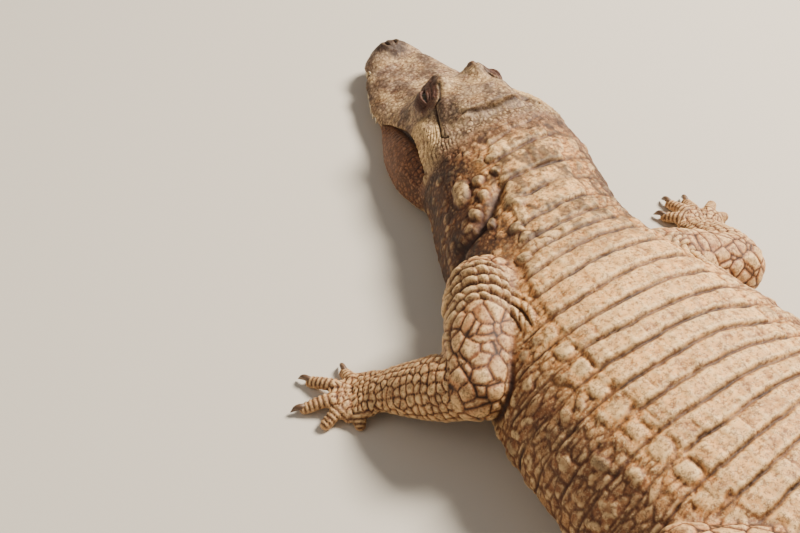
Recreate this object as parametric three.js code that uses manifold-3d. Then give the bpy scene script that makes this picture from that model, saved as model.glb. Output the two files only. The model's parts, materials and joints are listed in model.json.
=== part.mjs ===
// A mugger crocodile lying at rest, life size, in millimetres, +Z up, +Y the way its trunk faces.
// Body, head and tail are lofts along one curved spine. Station distances run back from the snout tip.
// Every soft length is its own closed solid. Neighbours keep a thin gap, and the underside is flat on z = 0.

import * as THREE from 'three';
import { mergeVertices } from 'three/addons/utils/BufferGeometryUtils.js';
import Module from 'manifold-3d';

const wasm = await Module();
wasm.setup();

// ---------- driving dimensions ----------

const GAP = 0.4; // clearance between neighbouring solids
const MOUTH_GAP = 2.5; // height of the slit between the jaws
const TOTAL_LENGTH = 2450; // along the spine, snout tip to tail tip
const TRUNK_MIDDLE = 835; // station that faces straight along +Y
const SPINE_STEP = 5; // integration step along the spine

// Stations where one length of the body ends and the next begins.
const NECK_START = 350;
const NECK = { start: NECK_START, end: 560, steps: 4 };
const TRUNK = { start: NECK.end, end: 1190, steps: 12 };
const TAIL_CUTS = [TRUNK.end, 1500, 1804, 2108, TOTAL_LENGTH];
const TAIL = TAIL_CUTS.slice(1).map((end, index) => ({ start: TAIL_CUTS[index], end, steps: 5 }));

// [station, heading in degrees, anticlockwise from +Y seen from above]
const SPINE_HEADINGS = [
  [0, -6.5], [345, -6], [400, -14], [455, -22], [535, -16], [635, -9], [835, 0],
  [1040, 9], [1240, 10], [1440, 4], [1740, -22], [2040, -10], [2450, 25],
];

// [station, half width, top height, section exponent] from the nape to the tail tip
const BODY = [
  [340, 118, 150, 2.3], [400, 125, 153, 2.25], [470, 130, 153, 2.2], [535, 138, 159, 2.2],
  [635, 164, 176, 2.2], [700, 180, 187, 2.2], [785, 202, 193, 2.2], [935, 214, 193, 2.2],
  [1055, 196, 182, 2.2], [1155, 152, 164, 2.2], [1235, 110, 144, 2.2], [1385, 80, 122, 2.3],
  [1635, 56, 104, 2.4], [1935, 34, 84, 2.4], [2235, 17, 56, 2.4], [2400, 7, 28, 2.2],
  [2450, 2.5, 12, 2.0],
];
const WIDEST_HEIGHT = 0.36; // height of the widest point as a share of the section's height
const HEAD_ROLL = { slope: 0.1, fadeStart: 330, fadeEnd: 440, fullHeight: 60 }; // right side up
const BELLY_SINK = { depth: 6, fullTop: 100, least: 0.2 }; // round underside that the flat cuts away

// [station, half width at the lip, top height before relief, lip height, section exponent]
const UPPER_HEAD = [
  [0, 12, 40, 27, 2.2], [5, 24, 50, 27, 2.4], [13, 34, 57, 27, 2.6], [26, 43, 61, 29, 2.7],
  [40, 48, 61, 33, 2.7], [52, 47, 60, 38, 2.6], [66, 60, 60, 34, 2.6], [100, 73, 62, 30, 2.6],
  [135, 84, 67, 29, 2.5], [160, 86, 73, 33, 2.4], [187, 81, 85, 50, 2.3], [216, 81, 102, 66, 2.2],
  [246, 84, 119, 80, 2.1], [285, 93, 133, 89, 2.1], [325, 105, 143, 87, 2.2],
  [352, 112, 150, 80, 2.3],
];

const HEAD_OVER_TOP = 14; // steps of a head ring from lip to lip
const HEAD_PALATE = [-0.6, 0, 0.6]; // its points along the flat palate, as shares of the half width
const RELIEF_FADE = 0.35; // relief dies away over this lowest share of the head's side

// [station, half width, height of the widest point]
const LOWER_JAW = [
  [5, 13, 14], [13, 26, 15], [26, 36, 16], [52, 50, 18], [66, 57, 18], [100, 68, 20],
  [130, 75, 22], [160, 82, 26], [190, 96, 30], [246, 119, 34], [300, 128, 40], [352, 120, 46],
];
const JAW_SECTION = { points: 16, exponent: 2.5, upperStretch: 1.25, bellySink: 3 };

// Bumps on the top of the head: station, side offset, height, length and width of the swelling.
const HEAD_BUMPS = [
  { s: 27, x: 0, high: 11, long: 17, wide: 24 }, // nostrils
  { s: 70, x: 0, high: -3, long: 22, wide: 22 }, // dip behind the nostrils
  { s: 175, x: 32, high: 4, long: 55, wide: 12 }, // ridge in front of the eye
  { s: 219, x: 32, high: 36, long: 31, wide: 18 }, // brow
  { s: 222, x: 0, high: 26, long: 36, wide: 26 }, // between the brows
  { s: 236, x: 54, high: 20, long: 34, wide: 15 }, // lids
  { s: 292, x: 92, high: 9, long: 42, wide: 26 }, // jaw muscle
];
const SKULL_TABLE = { start: 256, end: 322, half: 50, high: 20, ramp: 20, side: 14 };
const BUMP_POWER = 2.6; // above 2, a bump's profile along the head is squarer than a bell

const EYE = { s: 235, x: 51, z: 115, radius: 16 };
const BALL = { bands: 6, sides: 10 };

// Teeth of the upper jaw that show outside the lower jaw: station and length.
const UPPER_TEETH = [
  [10, 8], [18, 10], [29, 12], [39, 12], [70, 10], [84, 13], [99, 16], [114, 14], [130, 10],
  [145, 8],
];
const TOOTH_RADIUS = 3.2;
const TOOTH_POINT = 0.6; // radius at the tip
const TOOTH_INSET = 4;
const TOOTH_ROOT = 5; // depth of its base above the lip
const FOURTH_TOOTH = { s: 52, inset: 7, lean: 7, rise: 18, radius: 3.4, root: 8 };

// Tail crest: a double row that closes up into one row.
const CREST = {
  start: 1215, merge: 1840, end: 2425, pitch: 38, spread: 44, thick: 5, fullThickTop: 80,
  halfBase: 0.47, halfRoom: 0.49, // shares of the pitch
  rootDepth: 12, rootShare: 0.3, // the lesser of a depth and a share of the tail's height
  peakFront: 0.3, peakRear: 0.9, // ends of the ridge, as shares of the half base
};
const CREST_HEIGHTS = [[1215, 9], [1400, 17], [1700, 26], [1860, 34], [2150, 30], [2425, 12]];

// Limbs: joints as [x, y, z] in the trunk's frame, then [share of the length, half width, half height].
const FORELIMB_ROWS = {
  upper: [[0, 52, 52], [0.5, 49, 50], [1, 46, 44]],
  lower: [[0, 40, 40], [0.3, 44, 41], [0.75, 38, 31], [1, 32, 22]],
  palm: [[0, 30, 20], [0.5, 37, 16], [1, 38, 12]],
};
const HINDLIMB_ROWS = {
  upper: [[0, 64, 66], [0.5, 62, 62], [1, 45, 44]],
  lower: [[0, 41, 39], [0.4, 41, 38], [1, 28, 24]],
  palm: [[0, 27, 22], [0.5, 33, 17], [1, 42, 10]],
};
const FORELIMBS = {
  left: {
    root: [-107, 237, 112], bend: [-188, 136, 97], end: [-252, 233, 29],
    knuckles: [-288, 256, 9],
    toes: [[-268, 296], [-312, 305], [-340, 272], [-331, 238], [-296, 216]],
  },
  right: {
    root: [90, 220, 80], bend: [264, 170, 44], end: [296, 248, 24],
    knuckles: [318, 278, 10],
    toes: [[286, 318], [311, 336], [334, 326], [364, 304], [362, 276]],
  },
};
// The hind legs are folded alike on both sides: lateral, forward and height from the hip station.
const HIP_STATION = 1115;
const HINDLIMB = {
  root: [76, 0, 88], bend: [188, 122, 140], end: [248, 24, 28], knuckles: [294, 90, 10],
  toes: [[266, 190], [316, 196], [360, 170], [382, 120]],
};
const FOLD = { front: 4, hind: 8, lowerShare: -0.4 }; // how far the middle of each length bows up
const TOE = {
  base: [13, 11], tip: [8.5, 8], arch: 5, tipHeight: 7,
  palmShare: 0.7, baseShare: 0.12, // where in the palm, and how far towards its tip, a toe starts
};
const CLAW_SHAPE = {
  length: 17, radius: 4.6, droop: 4, sink: 4, rise: 1,
  rows: [[0, 1, 1], [0.6, 0.75, 0.8], [1, 0.2, 0.2]], // [share, half width, half height] over the radius
};
const CLAWED_TOES = 3; // the inner three toes of every foot carry claws

const RING_POINTS = 18;
const LIMB_POINTS = 10;
const DIGIT_POINTS = 5;

const SKIN = { colour: 0x8c7358, roughness: 0.85 };
const HEAD_SKIN = { colour: 0x84705a, roughness: 0.85 };
const PALE_SKIN = { colour: 0xb09472, roughness: 0.85 };
const CLAW = { colour: 0x2b231d, roughness: 0.55 };
const EYEBALL = { colour: 0x4a3a1c, roughness: 0.2 };

// ---------- small helpers ----------

const clamp = THREE.MathUtils.clamp;
const smooth = THREE.MathUtils.smoothstep;
const radians = THREE.MathUtils.degToRad;
const vec = (x, y, z) => new THREE.Vector3(x, y, z);

// Smooth interpolation that never overshoots the rows of a station table.
function stationTable(rows) {
  const slope = (i, k) => (rows[i + 1][k] - rows[i][k]) / (rows[i + 1][0] - rows[i][0]);
  const tangent = (i, k) => {
    if (i === 0) return slope(0, k);
    if (i === rows.length - 1) return slope(i - 1, k);
    const before = slope(i - 1, k);
    const after = slope(i, k);
    return before * after <= 0 ? 0 : (2 * before * after) / (before + after);
  };
  return (s) => {
    let i = 0;
    while (i < rows.length - 2 && s > rows[i + 1][0]) i += 1;
    const span = rows[i + 1][0] - rows[i][0];
    const t = clamp((s - rows[i][0]) / span, 0, 1);
    const h00 = (1 + 2 * t) * (1 - t) ** 2;
    const h10 = t * (1 - t) ** 2;
    const h01 = t * t * (3 - 2 * t);
    const h11 = t * t * (t - 1);
    return rows[i].slice(1).map((value, column) => {
      const k = column + 1;
      return h00 * value + h10 * span * tangent(i, k)
        + h01 * rows[i + 1][k] + h11 * span * tangent(i + 1, k);
    });
  };
}

const signedPower = (value, power) => Math.sign(value) * Math.abs(value) ** power;

// ---------- the spine ----------

const headingAt = stationTable(SPINE_HEADINGS);

function buildSpine() {
  const points = [];
  let x = 0;
  let y = 0;
  for (let s = 0; s <= TOTAL_LENGTH + SPINE_STEP; s += SPINE_STEP) {
    points.push([x, y]);
    const heading = radians(headingAt(s + SPINE_STEP / 2)[0]);
    x += Math.sin(heading) * SPINE_STEP;
    y -= Math.cos(heading) * SPINE_STEP;
  }
  const [middleX, middleY] = points[TRUNK_MIDDLE / SPINE_STEP];
  return points.map(([px, py]) => [px - middleX, py - middleY]);
}

const SPINE = buildSpine();

// Point at station s, offset to the animal's right by x, at height z.
function bodyPoint(s, x, z) {
  const place = clamp(s / SPINE_STEP, 0, SPINE.length - 1.001);
  const i = Math.floor(place);
  const t = place - i;
  const heading = radians(headingAt(s)[0]);
  const cx = SPINE[i][0] * (1 - t) + SPINE[i + 1][0] * t;
  const cy = SPINE[i][1] * (1 - t) + SPINE[i + 1][1] * t;
  const { slope, fadeStart, fadeEnd, fullHeight } = HEAD_ROLL;
  const roll = slope * (1 - smooth(s, fadeStart, fadeEnd)) * smooth(z, 0, fullHeight);
  return vec(cx + Math.cos(heading) * x, cy + Math.sin(heading) * x, z + x * roll);
}

// ---------- lofts and booleans ----------

// Closed surface through rings of equal count, with a fan over each end.
function loft(rings) {
  const count = rings[0].length;
  const points = rings.flat();
  const triangles = [];
  for (let i = 0; i < rings.length - 1; i += 1) {
    for (let j = 0; j < count; j += 1) {
      const a = i * count + j;
      const b = i * count + ((j + 1) % count);
      triangles.push(a, b, b + count, a, b + count, a + count);
    }
  }
  for (const [ring, first, flip] of [[rings[0], 0, false], [rings.at(-1), points.length - count, true]]) {
    const centre = ring.reduce((sum, p) => sum.add(p), vec(0, 0, 0)).divideScalar(count);
    const hub = points.push(centre) - 1;
    for (let j = 0; j < count; j += 1) {
      const a = first + j;
      const b = first + ((j + 1) % count);
      triangles.push(...(flip ? [hub, a, b] : [hub, b, a]));
    }
  }
  return toManifold(points, triangles);
}

function toManifold(points, triangles) {
  const raw = new THREE.BufferGeometry();
  raw.setAttribute('position', new THREE.Float32BufferAttribute(points.flatMap((p) => p.toArray()), 3));
  raw.setIndex(triangles);
  const merged = mergeVertices(raw, 1e-3);
  const solid = new wasm.Manifold(new wasm.Mesh({
    numProp: 3,
    vertProperties: Float32Array.from(merged.attributes.position.array),
    triVerts: Uint32Array.from(dropSlivers(merged.index.array)),
  }));
  return solid;
}

// Triangles whose corners were merged into one point are left out.
function dropSlivers(index) {
  const kept = [];
  for (let i = 0; i < index.length; i += 3) {
    const [a, b, c] = [index[i], index[i + 1], index[i + 2]];
    if (a !== b && b !== c && c !== a) kept.push(a, b, c);
  }
  return kept;
}

function toMesh(name, solid, finish) {
  const { vertProperties, triVerts } = solid.getMesh();
  const geometry = new THREE.BufferGeometry();
  geometry.setAttribute('position', new THREE.BufferAttribute(new Float32Array(vertProperties), 3));
  geometry.setIndex(new THREE.BufferAttribute(new Uint32Array(triVerts), 1));
  geometry.computeVertexNormals();
  const material = new THREE.MeshStandardMaterial({
    color: finish.colour, roughness: finish.roughness, metalness: 0,
  });
  const mesh = new THREE.Mesh(geometry, material);
  mesh.name = name;
  return mesh;
}

const subtractAll = (solid, tools) => tools.reduce((left, tool) => left.subtract(tool), solid);

// Stations from one cut to the next, half a gap short of each.
function stationsBetween(start, end, count) {
  const from = start + GAP / 2;
  const to = end - GAP / 2;
  return Array.from({ length: count + 1 }, (_, i) => from + ((to - from) * i) / count);
}

// ---------- neck, trunk and tail ----------

const bodyAt = stationTable(BODY);

function bodyRing(s, grow = 0) {
  const [halfWidth, top, exponent] = bodyAt(s);
  const bottom = -BELLY_SINK.depth * clamp(top / BELLY_SINK.fullTop, BELLY_SINK.least, 1);
  const middle = bottom + (top - bottom) * WIDEST_HEIGHT;
  return Array.from({ length: RING_POINTS }, (_, j) => {
    const angle = (2 * Math.PI * j) / RING_POINTS;
    const x = (halfWidth + grow) * signedPower(Math.cos(angle), 2 / exponent);
    const rise = signedPower(Math.sin(angle), 2 / exponent);
    const z = middle + rise * (rise > 0 ? top + grow - middle : middle - bottom + grow);
    return bodyPoint(s, x, Math.max(z, 0));
  });
}

function bodyLength({ start, end, steps }, grow = 0) {
  const stations = stationsBetween(start, end, steps);
  if (grow > 0) {
    stations.unshift(stations[0] - grow);
    stations.push(stations.at(-1) + grow);
  }
  return loft(stations.map((s) => bodyRing(s, grow)));
}

// The body grown by the gap, which the limbs are cut back to.
const fatBody = [NECK, TRUNK, TAIL[0]].map((one) => bodyLength(one, GAP))
  .reduce((joined, one) => joined.add(one));

// One crest scute: a thin wedge that leans back, its root sunk in the tail.
function crestScute(s, side, height) {
  const [, top] = bodyAt(s);
  const half = CREST.pitch * CREST.halfBase;
  const thick = CREST.thick * clamp(top / CREST.fullThickTop, 0.5, 1);
  const root = top - Math.min(CREST.rootDepth, top * CREST.rootShare);
  const foot = (ds, dx) => bodyPoint(s + ds, side + dx, root);
  const peak = (ds) => bodyPoint(s + ds, side, top + height);
  const points = [
    foot(-half, -thick), foot(-half, thick), foot(half, thick), foot(half, -thick),
    peak(half * CREST.peakFront), peak(half * CREST.peakRear),
  ];
  const triangles = [0, 1, 2, 0, 2, 3, 0, 4, 1, 1, 5, 2, 1, 4, 5, 2, 5, 3, 3, 4, 0, 3, 5, 4];
  return toManifold(points, triangles);
}

const crestHeightAt = stationTable(CREST_HEIGHTS);

function withCrest(solid, { start, end }) {
  let crested = solid;
  const room = CREST.pitch * CREST.halfRoom;
  for (let s = CREST.start; s < CREST.end; s += CREST.pitch) {
    const inside = s - room > start && s + room < end;
    if (!inside) continue;
    const [height] = crestHeightAt(s);
    const offset = CREST.spread * clamp((CREST.merge - s) / (CREST.merge - CREST.start), 0, 1);
    const sides = offset > CREST.thick ? [-offset, offset] : [0];
    for (const side of sides) crested = crested.add(crestScute(s, side, height));
  }
  return crested;
}

// ---------- head ----------

const upperHeadAt = stationTable(UPPER_HEAD);
const lowerJawAt = stationTable(LOWER_JAW);

// Height added to the top of the head at station s and side offset x.
function headRelief(s, x) {
  let added = 0;
  for (const bump of HEAD_BUMPS) {
    const along = Math.abs((s - bump.s) / bump.long) ** BUMP_POWER;
    const across = ((Math.abs(x) - bump.x) / bump.wide) ** 2;
    added += bump.high * Math.exp(-along - across);
  }
  const { start, end, half, high, ramp, side } = SKULL_TABLE;
  const along = smooth(s, start - ramp, start + ramp) * (1 - smooth(s, end - ramp / 2, end + ramp / 2));
  const across = 1 - smooth(Math.abs(x), half - side, half + side);
  return added + high * along * across;
}

function upperHeadRing(s) {
  const [halfWidth, top, lip, exponent] = upperHeadAt(s);
  const ring = [];
  for (let j = 0; j <= HEAD_OVER_TOP; j += 1) {
    const angle = (Math.PI * j) / HEAD_OVER_TOP;
    const x = halfWidth * signedPower(Math.cos(angle), 2 / exponent);
    const rise = Math.sin(angle) ** (2 / exponent);
    const relief = headRelief(s, x) * smooth(rise, 0, RELIEF_FADE);
    ring.push(bodyPoint(s, x, lip + (top - lip) * rise + relief));
  }
  for (const share of HEAD_PALATE) ring.push(bodyPoint(s, share * halfWidth, lip));
  return ring;
}

function lowerJawRing(s) {
  const [halfWidth, middle] = lowerJawAt(s);
  const lip = upperHeadAt(s)[2] - MOUTH_GAP;
  const { points, exponent, upperStretch, bellySink } = JAW_SECTION;
  return Array.from({ length: points }, (_, j) => {
    const angle = (2 * Math.PI * j) / points;
    const x = halfWidth * signedPower(Math.cos(angle), 2 / exponent);
    const rise = signedPower(Math.sin(angle), 2 / exponent);
    const z = middle + rise * (rise > 0 ? (lip - middle) * upperStretch : middle + bellySink);
    return bodyPoint(s, x, clamp(z, 0, lip));
  });
}

function cone(base, tip, radius) {
  const sides = 4;
  const axis = tip.clone().sub(base).normalize();
  const across = vec(0, 1, 0).cross(axis).normalize();
  const along = axis.clone().cross(across);
  const ring = (centre, r) => Array.from({ length: sides }, (_, j) => {
    const angle = (2 * Math.PI * j) / sides;
    return centre.clone().addScaledVector(across, r * Math.cos(angle))
      .addScaledVector(along, r * Math.sin(angle));
  });
  return loft([ring(base, radius), ring(tip, TOOTH_POINT)]);
}

function ball(centre, radius) {
  const rings = [];
  const { bands, sides } = BALL;
  for (let i = 1; i < bands; i += 1) {
    const polar = (Math.PI * i) / bands;
    rings.push(Array.from({ length: sides }, (_, j) => {
      const angle = (2 * Math.PI * j) / sides;
      return vec(
        centre.x + radius * Math.sin(polar) * Math.cos(angle),
        centre.y + radius * Math.sin(polar) * Math.sin(angle),
        centre.z - radius * Math.cos(polar),
      );
    }));
  }
  return loft(rings);
}

// ---------- limbs ----------

// A tapered limb along a smooth path, with round ends, flattened where it lies on the ground.
function limb(path, rows, { sides = LIMB_POINTS, steps = 3, grow = 0, caps = 2 } = {}) {
  const curve = new THREE.CatmullRomCurve3(path, false, 'centripetal');
  const sizeAt = stationTable(rows);
  const ring = (share, scale, push) => {
    const centre = curve.getPoint(share);
    const axis = curve.getTangent(share);
    const across = axis.clone().cross(vec(0, 0, 1)).normalize();
    const along = axis.clone().cross(across);
    const [halfWidth, halfHeight] = sizeAt(share);
    centre.addScaledVector(axis, push * (Math.min(halfWidth, halfHeight) + grow));
    return Array.from({ length: sides }, (_, j) => {
      const angle = (2 * Math.PI * (j + 0.5)) / sides;
      const point = centre.clone()
        .addScaledVector(across, (halfWidth + grow) * scale * Math.cos(angle))
        .addScaledVector(along, (halfHeight + grow) * scale * Math.sin(angle));
      point.z = Math.max(point.z, 0);
      return point;
    });
  };
  const rings = Array.from({ length: steps + 1 }, (_, i) => ring(i / steps, 1, 0));
  for (let i = 1; i <= caps; i += 1) {
    const angle = (Math.PI / 2) * (i / (caps + 0.35));
    rings.unshift(ring(0, Math.cos(angle), -Math.sin(angle)));
    rings.push(ring(1, Math.cos(angle), Math.sin(angle)));
  }
  return loft(rings);
}

function largestBody(solid) {
  return solid.decompose().reduce((best, one) => (one.volume() > best.volume() ? one : best));
}

const midway = (a, b, share, lift = 0) => a.clone().lerp(b, share).add(vec(0, 0, lift));

function toeParts(knuckles, palmRoot, [x, y], grow = 0) {
  const tip = vec(x, y, TOE.tipHeight);
  const base = midway(palmRoot, knuckles, TOE.palmShare).lerp(tip, TOE.baseShare);
  const path = [base, midway(base, tip, 0.5, TOE.arch), tip];
  const rows = [[0, ...TOE.base], [1, ...TOE.tip]];
  const toe = limb(path, rows, { sides: DIGIT_POINTS, steps: 2, grow, caps: 1 });
  const outwards = tip.clone().sub(base).setZ(0).normalize();
  return { toe, tip, outwards };
}

function claw(tip, outwards, grow = 0) {
  const { length, radius, droop, sink, rise } = CLAW_SHAPE;
  const root = tip.clone().addScaledVector(outwards, -sink).add(vec(0, 0, rise));
  const middle = tip.clone().addScaledVector(outwards, length / 2).add(vec(0, 0, rise / 2));
  const point = tip.clone().addScaledVector(outwards, length).add(vec(0, 0, -droop));
  const rows = CLAW_SHAPE.rows.map(([share, wide, high]) => [share, radius * wide, radius * high]);
  return limb([root, middle, point], rows, { sides: 5, steps: 2, grow, caps: 0 });
}

// The three lengths of one leg, with its claws as further solids.
function legSolids({ root, bend, end, knuckles, toes }, rows, fold) {
  const upperPath = [root, midway(root, bend, 0.5, fold), bend];
  const lowerPath = [bend, midway(bend, end, 0.5, fold * FOLD.lowerShare), end];
  const palmPath = [end, midway(end, knuckles, 0.5), knuckles];
  const upper = largestBody(limb(upperPath, rows.upper).subtract(fatBody));
  const fatUpper = limb(upperPath, rows.upper, { grow: GAP });
  const fatLower = limb(lowerPath, rows.lower, { grow: GAP });
  const lower = largestBody(limb(lowerPath, rows.lower).subtract(fatUpper).subtract(fatBody));
  let foot = limb(palmPath, rows.palm, { steps: 2, caps: 1 });
  const claws = [];
  toes.forEach((place, index) => {
    const { toe, tip, outwards } = toeParts(knuckles, end, place);
    foot = foot.add(toe);
    if (index >= CLAWED_TOES) return;
    claws.push(claw(tip, outwards));
  });
  const sockets = toes.slice(0, CLAWED_TOES).map((place) => {
    const { tip, outwards } = toeParts(knuckles, end, place);
    return claw(tip, outwards, GAP);
  });
  foot = largestBody(subtractAll(foot, [fatLower, fatUpper, fatBody, ...sockets]));
  return { upper, lower, foot, claws };
}

function forelimb(side) {
  const { root, bend, end, knuckles, toes } = FORELIMBS[side];
  return legSolids({
    root: vec(...root), bend: vec(...bend), end: vec(...end), knuckles: vec(...knuckles), toes,
  }, FORELIMB_ROWS, FOLD.front);
}

function hindlimb(side) {
  const sign = side === 'left' ? -1 : 1;
  const heading = radians(headingAt(HIP_STATION)[0]);
  const place = ([lateral, forward, z = 0]) => bodyPoint(HIP_STATION, sign * lateral, z)
    .add(vec(-Math.sin(heading) * forward, Math.cos(heading) * forward, 0));
  const { root, bend, end, knuckles, toes } = HINDLIMB;
  return legSolids({
    root: place(root), bend: place(bend), end: place(end), knuckles: place(knuckles),
    toes: toes.map((toe) => { const p = place(toe); return [p.x, p.y]; }),
  }, HINDLIMB_ROWS, FOLD.hind);
}

// ---------- the animal ----------

// Both jaws share these stations, so that the slit between them is even.
const HEAD_STATIONS = [0, 5, 13, 26, 40, 52, 66, 100, 130, 160, 187, 203, 216, 228, 242, 256, 268,
  290, 312, 322, 334, NECK_START - GAP / 2];

// The big fourth tooth of the lower jaw stands in a notch of the upper lip, one on each side.
function fourthTeeth(grow) {
  const { s, inset, lean, rise, radius, root } = FOURTH_TOOTH;
  const [halfWidth] = lowerJawAt(s);
  const lip = upperHeadAt(s)[2] - MOUTH_GAP;
  return [-1, 1].map((side) => {
    const base = bodyPoint(s, side * (halfWidth - inset), lip - root);
    const tip = bodyPoint(s, side * (halfWidth - inset + lean), lip + rise);
    return cone(base, tip, radius + grow);
  });
}

function headSolid() {
  let head = loft(HEAD_STATIONS.map(upperHeadRing));
  for (const [s, length] of UPPER_TEETH) {
    const [halfWidth, , lip] = upperHeadAt(s);
    for (const side of [-1, 1]) {
      const across = side * (halfWidth - TOOTH_INSET);
      const base = bodyPoint(s, across, lip + TOOTH_ROOT);
      head = head.add(cone(base, bodyPoint(s, across + side, lip - length), TOOTH_RADIUS));
    }
  }
  const sockets = [-1, 1].map((side) => ball(bodyPoint(EYE.s, side * EYE.x, EYE.z), EYE.radius + GAP));
  return largestBody(subtractAll(head, [...sockets, ...fourthTeeth(GAP)]));
}

function lowerJawSolid() {
  const jaw = loft(HEAD_STATIONS.slice(1).map(lowerJawRing));
  return fourthTeeth(0).reduce((joined, tooth) => joined.add(tooth), jaw);
}

const solids = [];
const addSolid = (name, solid, finish) => solids.push({ name, solid, finish });

addSolid('head', headSolid(), HEAD_SKIN);
addSolid('lower_jaw', lowerJawSolid(), HEAD_SKIN);
for (const [name, side] of [['left', -1], ['right', 1]]) {
  addSolid(`eye_${name}`, ball(bodyPoint(EYE.s, side * EYE.x, EYE.z), EYE.radius), EYEBALL);
}

addSolid('neck', bodyLength(NECK), SKIN);
addSolid('trunk', bodyLength(TRUNK), PALE_SKIN);

['tail_base', 'tail_front', 'tail_rear', 'tail_tip'].forEach((name, index) => {
  addSolid(name, withCrest(bodyLength(TAIL[index]), TAIL[index]), SKIN);
});

for (const side of ['left', 'right']) {
  const front = forelimb(side);
  const hind = hindlimb(side);
  addSolid(`upper_arm_${side}`, front.upper, PALE_SKIN);
  addSolid(`forearm_${side}`, front.lower, SKIN);
  addSolid(`hand_${side}`, front.foot, SKIN);
  addSolid(`thigh_${side}`, hind.upper, PALE_SKIN);
  addSolid(`shin_${side}`, hind.lower, SKIN);
  addSolid(`foot_${side}`, hind.foot, SKIN);
  front.claws.forEach((one, index) => addSolid(`hand_claw_${side}_${index + 1}`, one, CLAW));
  hind.claws.forEach((one, index) => addSolid(`foot_claw_${side}_${index + 1}`, one, CLAW));
}

// The origin goes to the middle of the whole animal's footprint, at floor level.
const animal = new THREE.Group();
for (const { name, solid, finish } of solids) animal.add(toMesh(name, solid, finish));
const bounds = new THREE.Box3().setFromObject(animal);
const middle = bounds.getCenter(vec(0, 0, 0));
animal.position.set(-middle.x, -middle.y, 0);

export default animal;
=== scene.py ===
"""A mugger crocodile lying at rest: its hide, eyes, claws, teeth, floor, light and camera.

The skin is lofted from the same stations as the solids, joined into one mesh, and given its scales as
relief. Lengths are in millimetres until a mesh is made. s runs back along the spine from the snout tip,
x is the offset to the animal's right, w the way over the skin from the midline of the back.
"""
import json
import math
from types import SimpleNamespace as Group

import bpy
import numpy as np
from mathutils import Matrix, Vector


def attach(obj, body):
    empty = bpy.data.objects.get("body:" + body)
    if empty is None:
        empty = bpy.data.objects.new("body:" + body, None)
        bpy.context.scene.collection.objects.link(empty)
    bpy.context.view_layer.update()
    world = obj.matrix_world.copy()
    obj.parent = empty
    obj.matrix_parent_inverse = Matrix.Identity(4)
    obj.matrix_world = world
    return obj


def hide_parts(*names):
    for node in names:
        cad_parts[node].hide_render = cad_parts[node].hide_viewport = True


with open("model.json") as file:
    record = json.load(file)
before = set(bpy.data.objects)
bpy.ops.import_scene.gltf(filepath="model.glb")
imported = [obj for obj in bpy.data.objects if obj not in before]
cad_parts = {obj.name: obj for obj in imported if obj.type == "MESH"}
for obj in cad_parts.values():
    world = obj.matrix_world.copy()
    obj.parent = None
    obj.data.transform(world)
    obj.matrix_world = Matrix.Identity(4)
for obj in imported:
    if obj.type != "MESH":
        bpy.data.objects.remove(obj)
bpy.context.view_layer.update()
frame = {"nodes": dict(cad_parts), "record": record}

MM = 0.001

# ---------- driving dimensions, as in the solids ----------

TOTAL_LENGTH = 2450
TRUNK_MIDDLE = 835  # station that faces straight along +Y
NECK_START = 350

# [station, heading in degrees, anticlockwise from +Y seen from above]
SPINE_HEADINGS = [
    [0, -6.5], [345, -6], [400, -14], [455, -22], [535, -16], [635, -9], [835, 0],
    [1040, 9], [1240, 10], [1440, 4], [1740, -22], [2040, -10], [2450, 25],
]

# [station, half width, top height, section exponent] from the nape to the tail tip
BODY = [
    [340, 118, 150, 2.3], [400, 125, 153, 2.25], [470, 130, 153, 2.2], [535, 138, 159, 2.2],
    [635, 164, 176, 2.2], [700, 180, 187, 2.2], [785, 202, 193, 2.2], [935, 214, 193, 2.2],
    [1055, 196, 182, 2.2], [1155, 152, 164, 2.2], [1235, 110, 144, 2.2], [1385, 80, 122, 2.3],
    [1635, 56, 104, 2.4], [1935, 34, 84, 2.4], [2235, 17, 56, 2.4], [2400, 7, 28, 2.2],
    [2450, 2.5, 12, 2.0],
]
WIDEST_HEIGHT = 0.36  # height of the widest point as a share of the section's height
HEAD_ROLL = Group(slope=0.1, fade_start=330, fade_end=440, full_height=60)  # right side up
BELLY_SINK = Group(depth=6, full_top=100, least=0.2)

# [station, half width at the lip, top height before relief, lip height, section exponent]
UPPER_HEAD = [
    [0, 12, 40, 27, 2.2], [5, 24, 50, 27, 2.4], [13, 34, 57, 27, 2.6], [26, 43, 61, 29, 2.7],
    [40, 48, 61, 33, 2.7], [52, 47, 60, 38, 2.6], [66, 60, 60, 34, 2.6], [100, 73, 62, 30, 2.6],
    [135, 84, 67, 29, 2.5], [160, 86, 73, 33, 2.4], [187, 81, 85, 50, 2.3], [216, 81, 102, 66, 2.2],
    [246, 84, 119, 80, 2.1], [285, 93, 133, 89, 2.1], [325, 105, 143, 87, 2.2],
    [352, 112, 150, 80, 2.3],
]

# [station, half width, height of the widest point]
LOWER_JAW = [
    [5, 13, 14], [13, 26, 15], [26, 36, 16], [52, 50, 18], [66, 57, 18], [100, 68, 20],
    [130, 75, 22], [160, 82, 26], [190, 96, 30], [246, 119, 34], [300, 128, 40], [352, 120, 46],
]
JAW_SECTION = Group(exponent=2.5, upper_stretch=1.25, belly_sink=3)
EYE = Group(s=235, x=51, z=115, radius=16)

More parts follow.
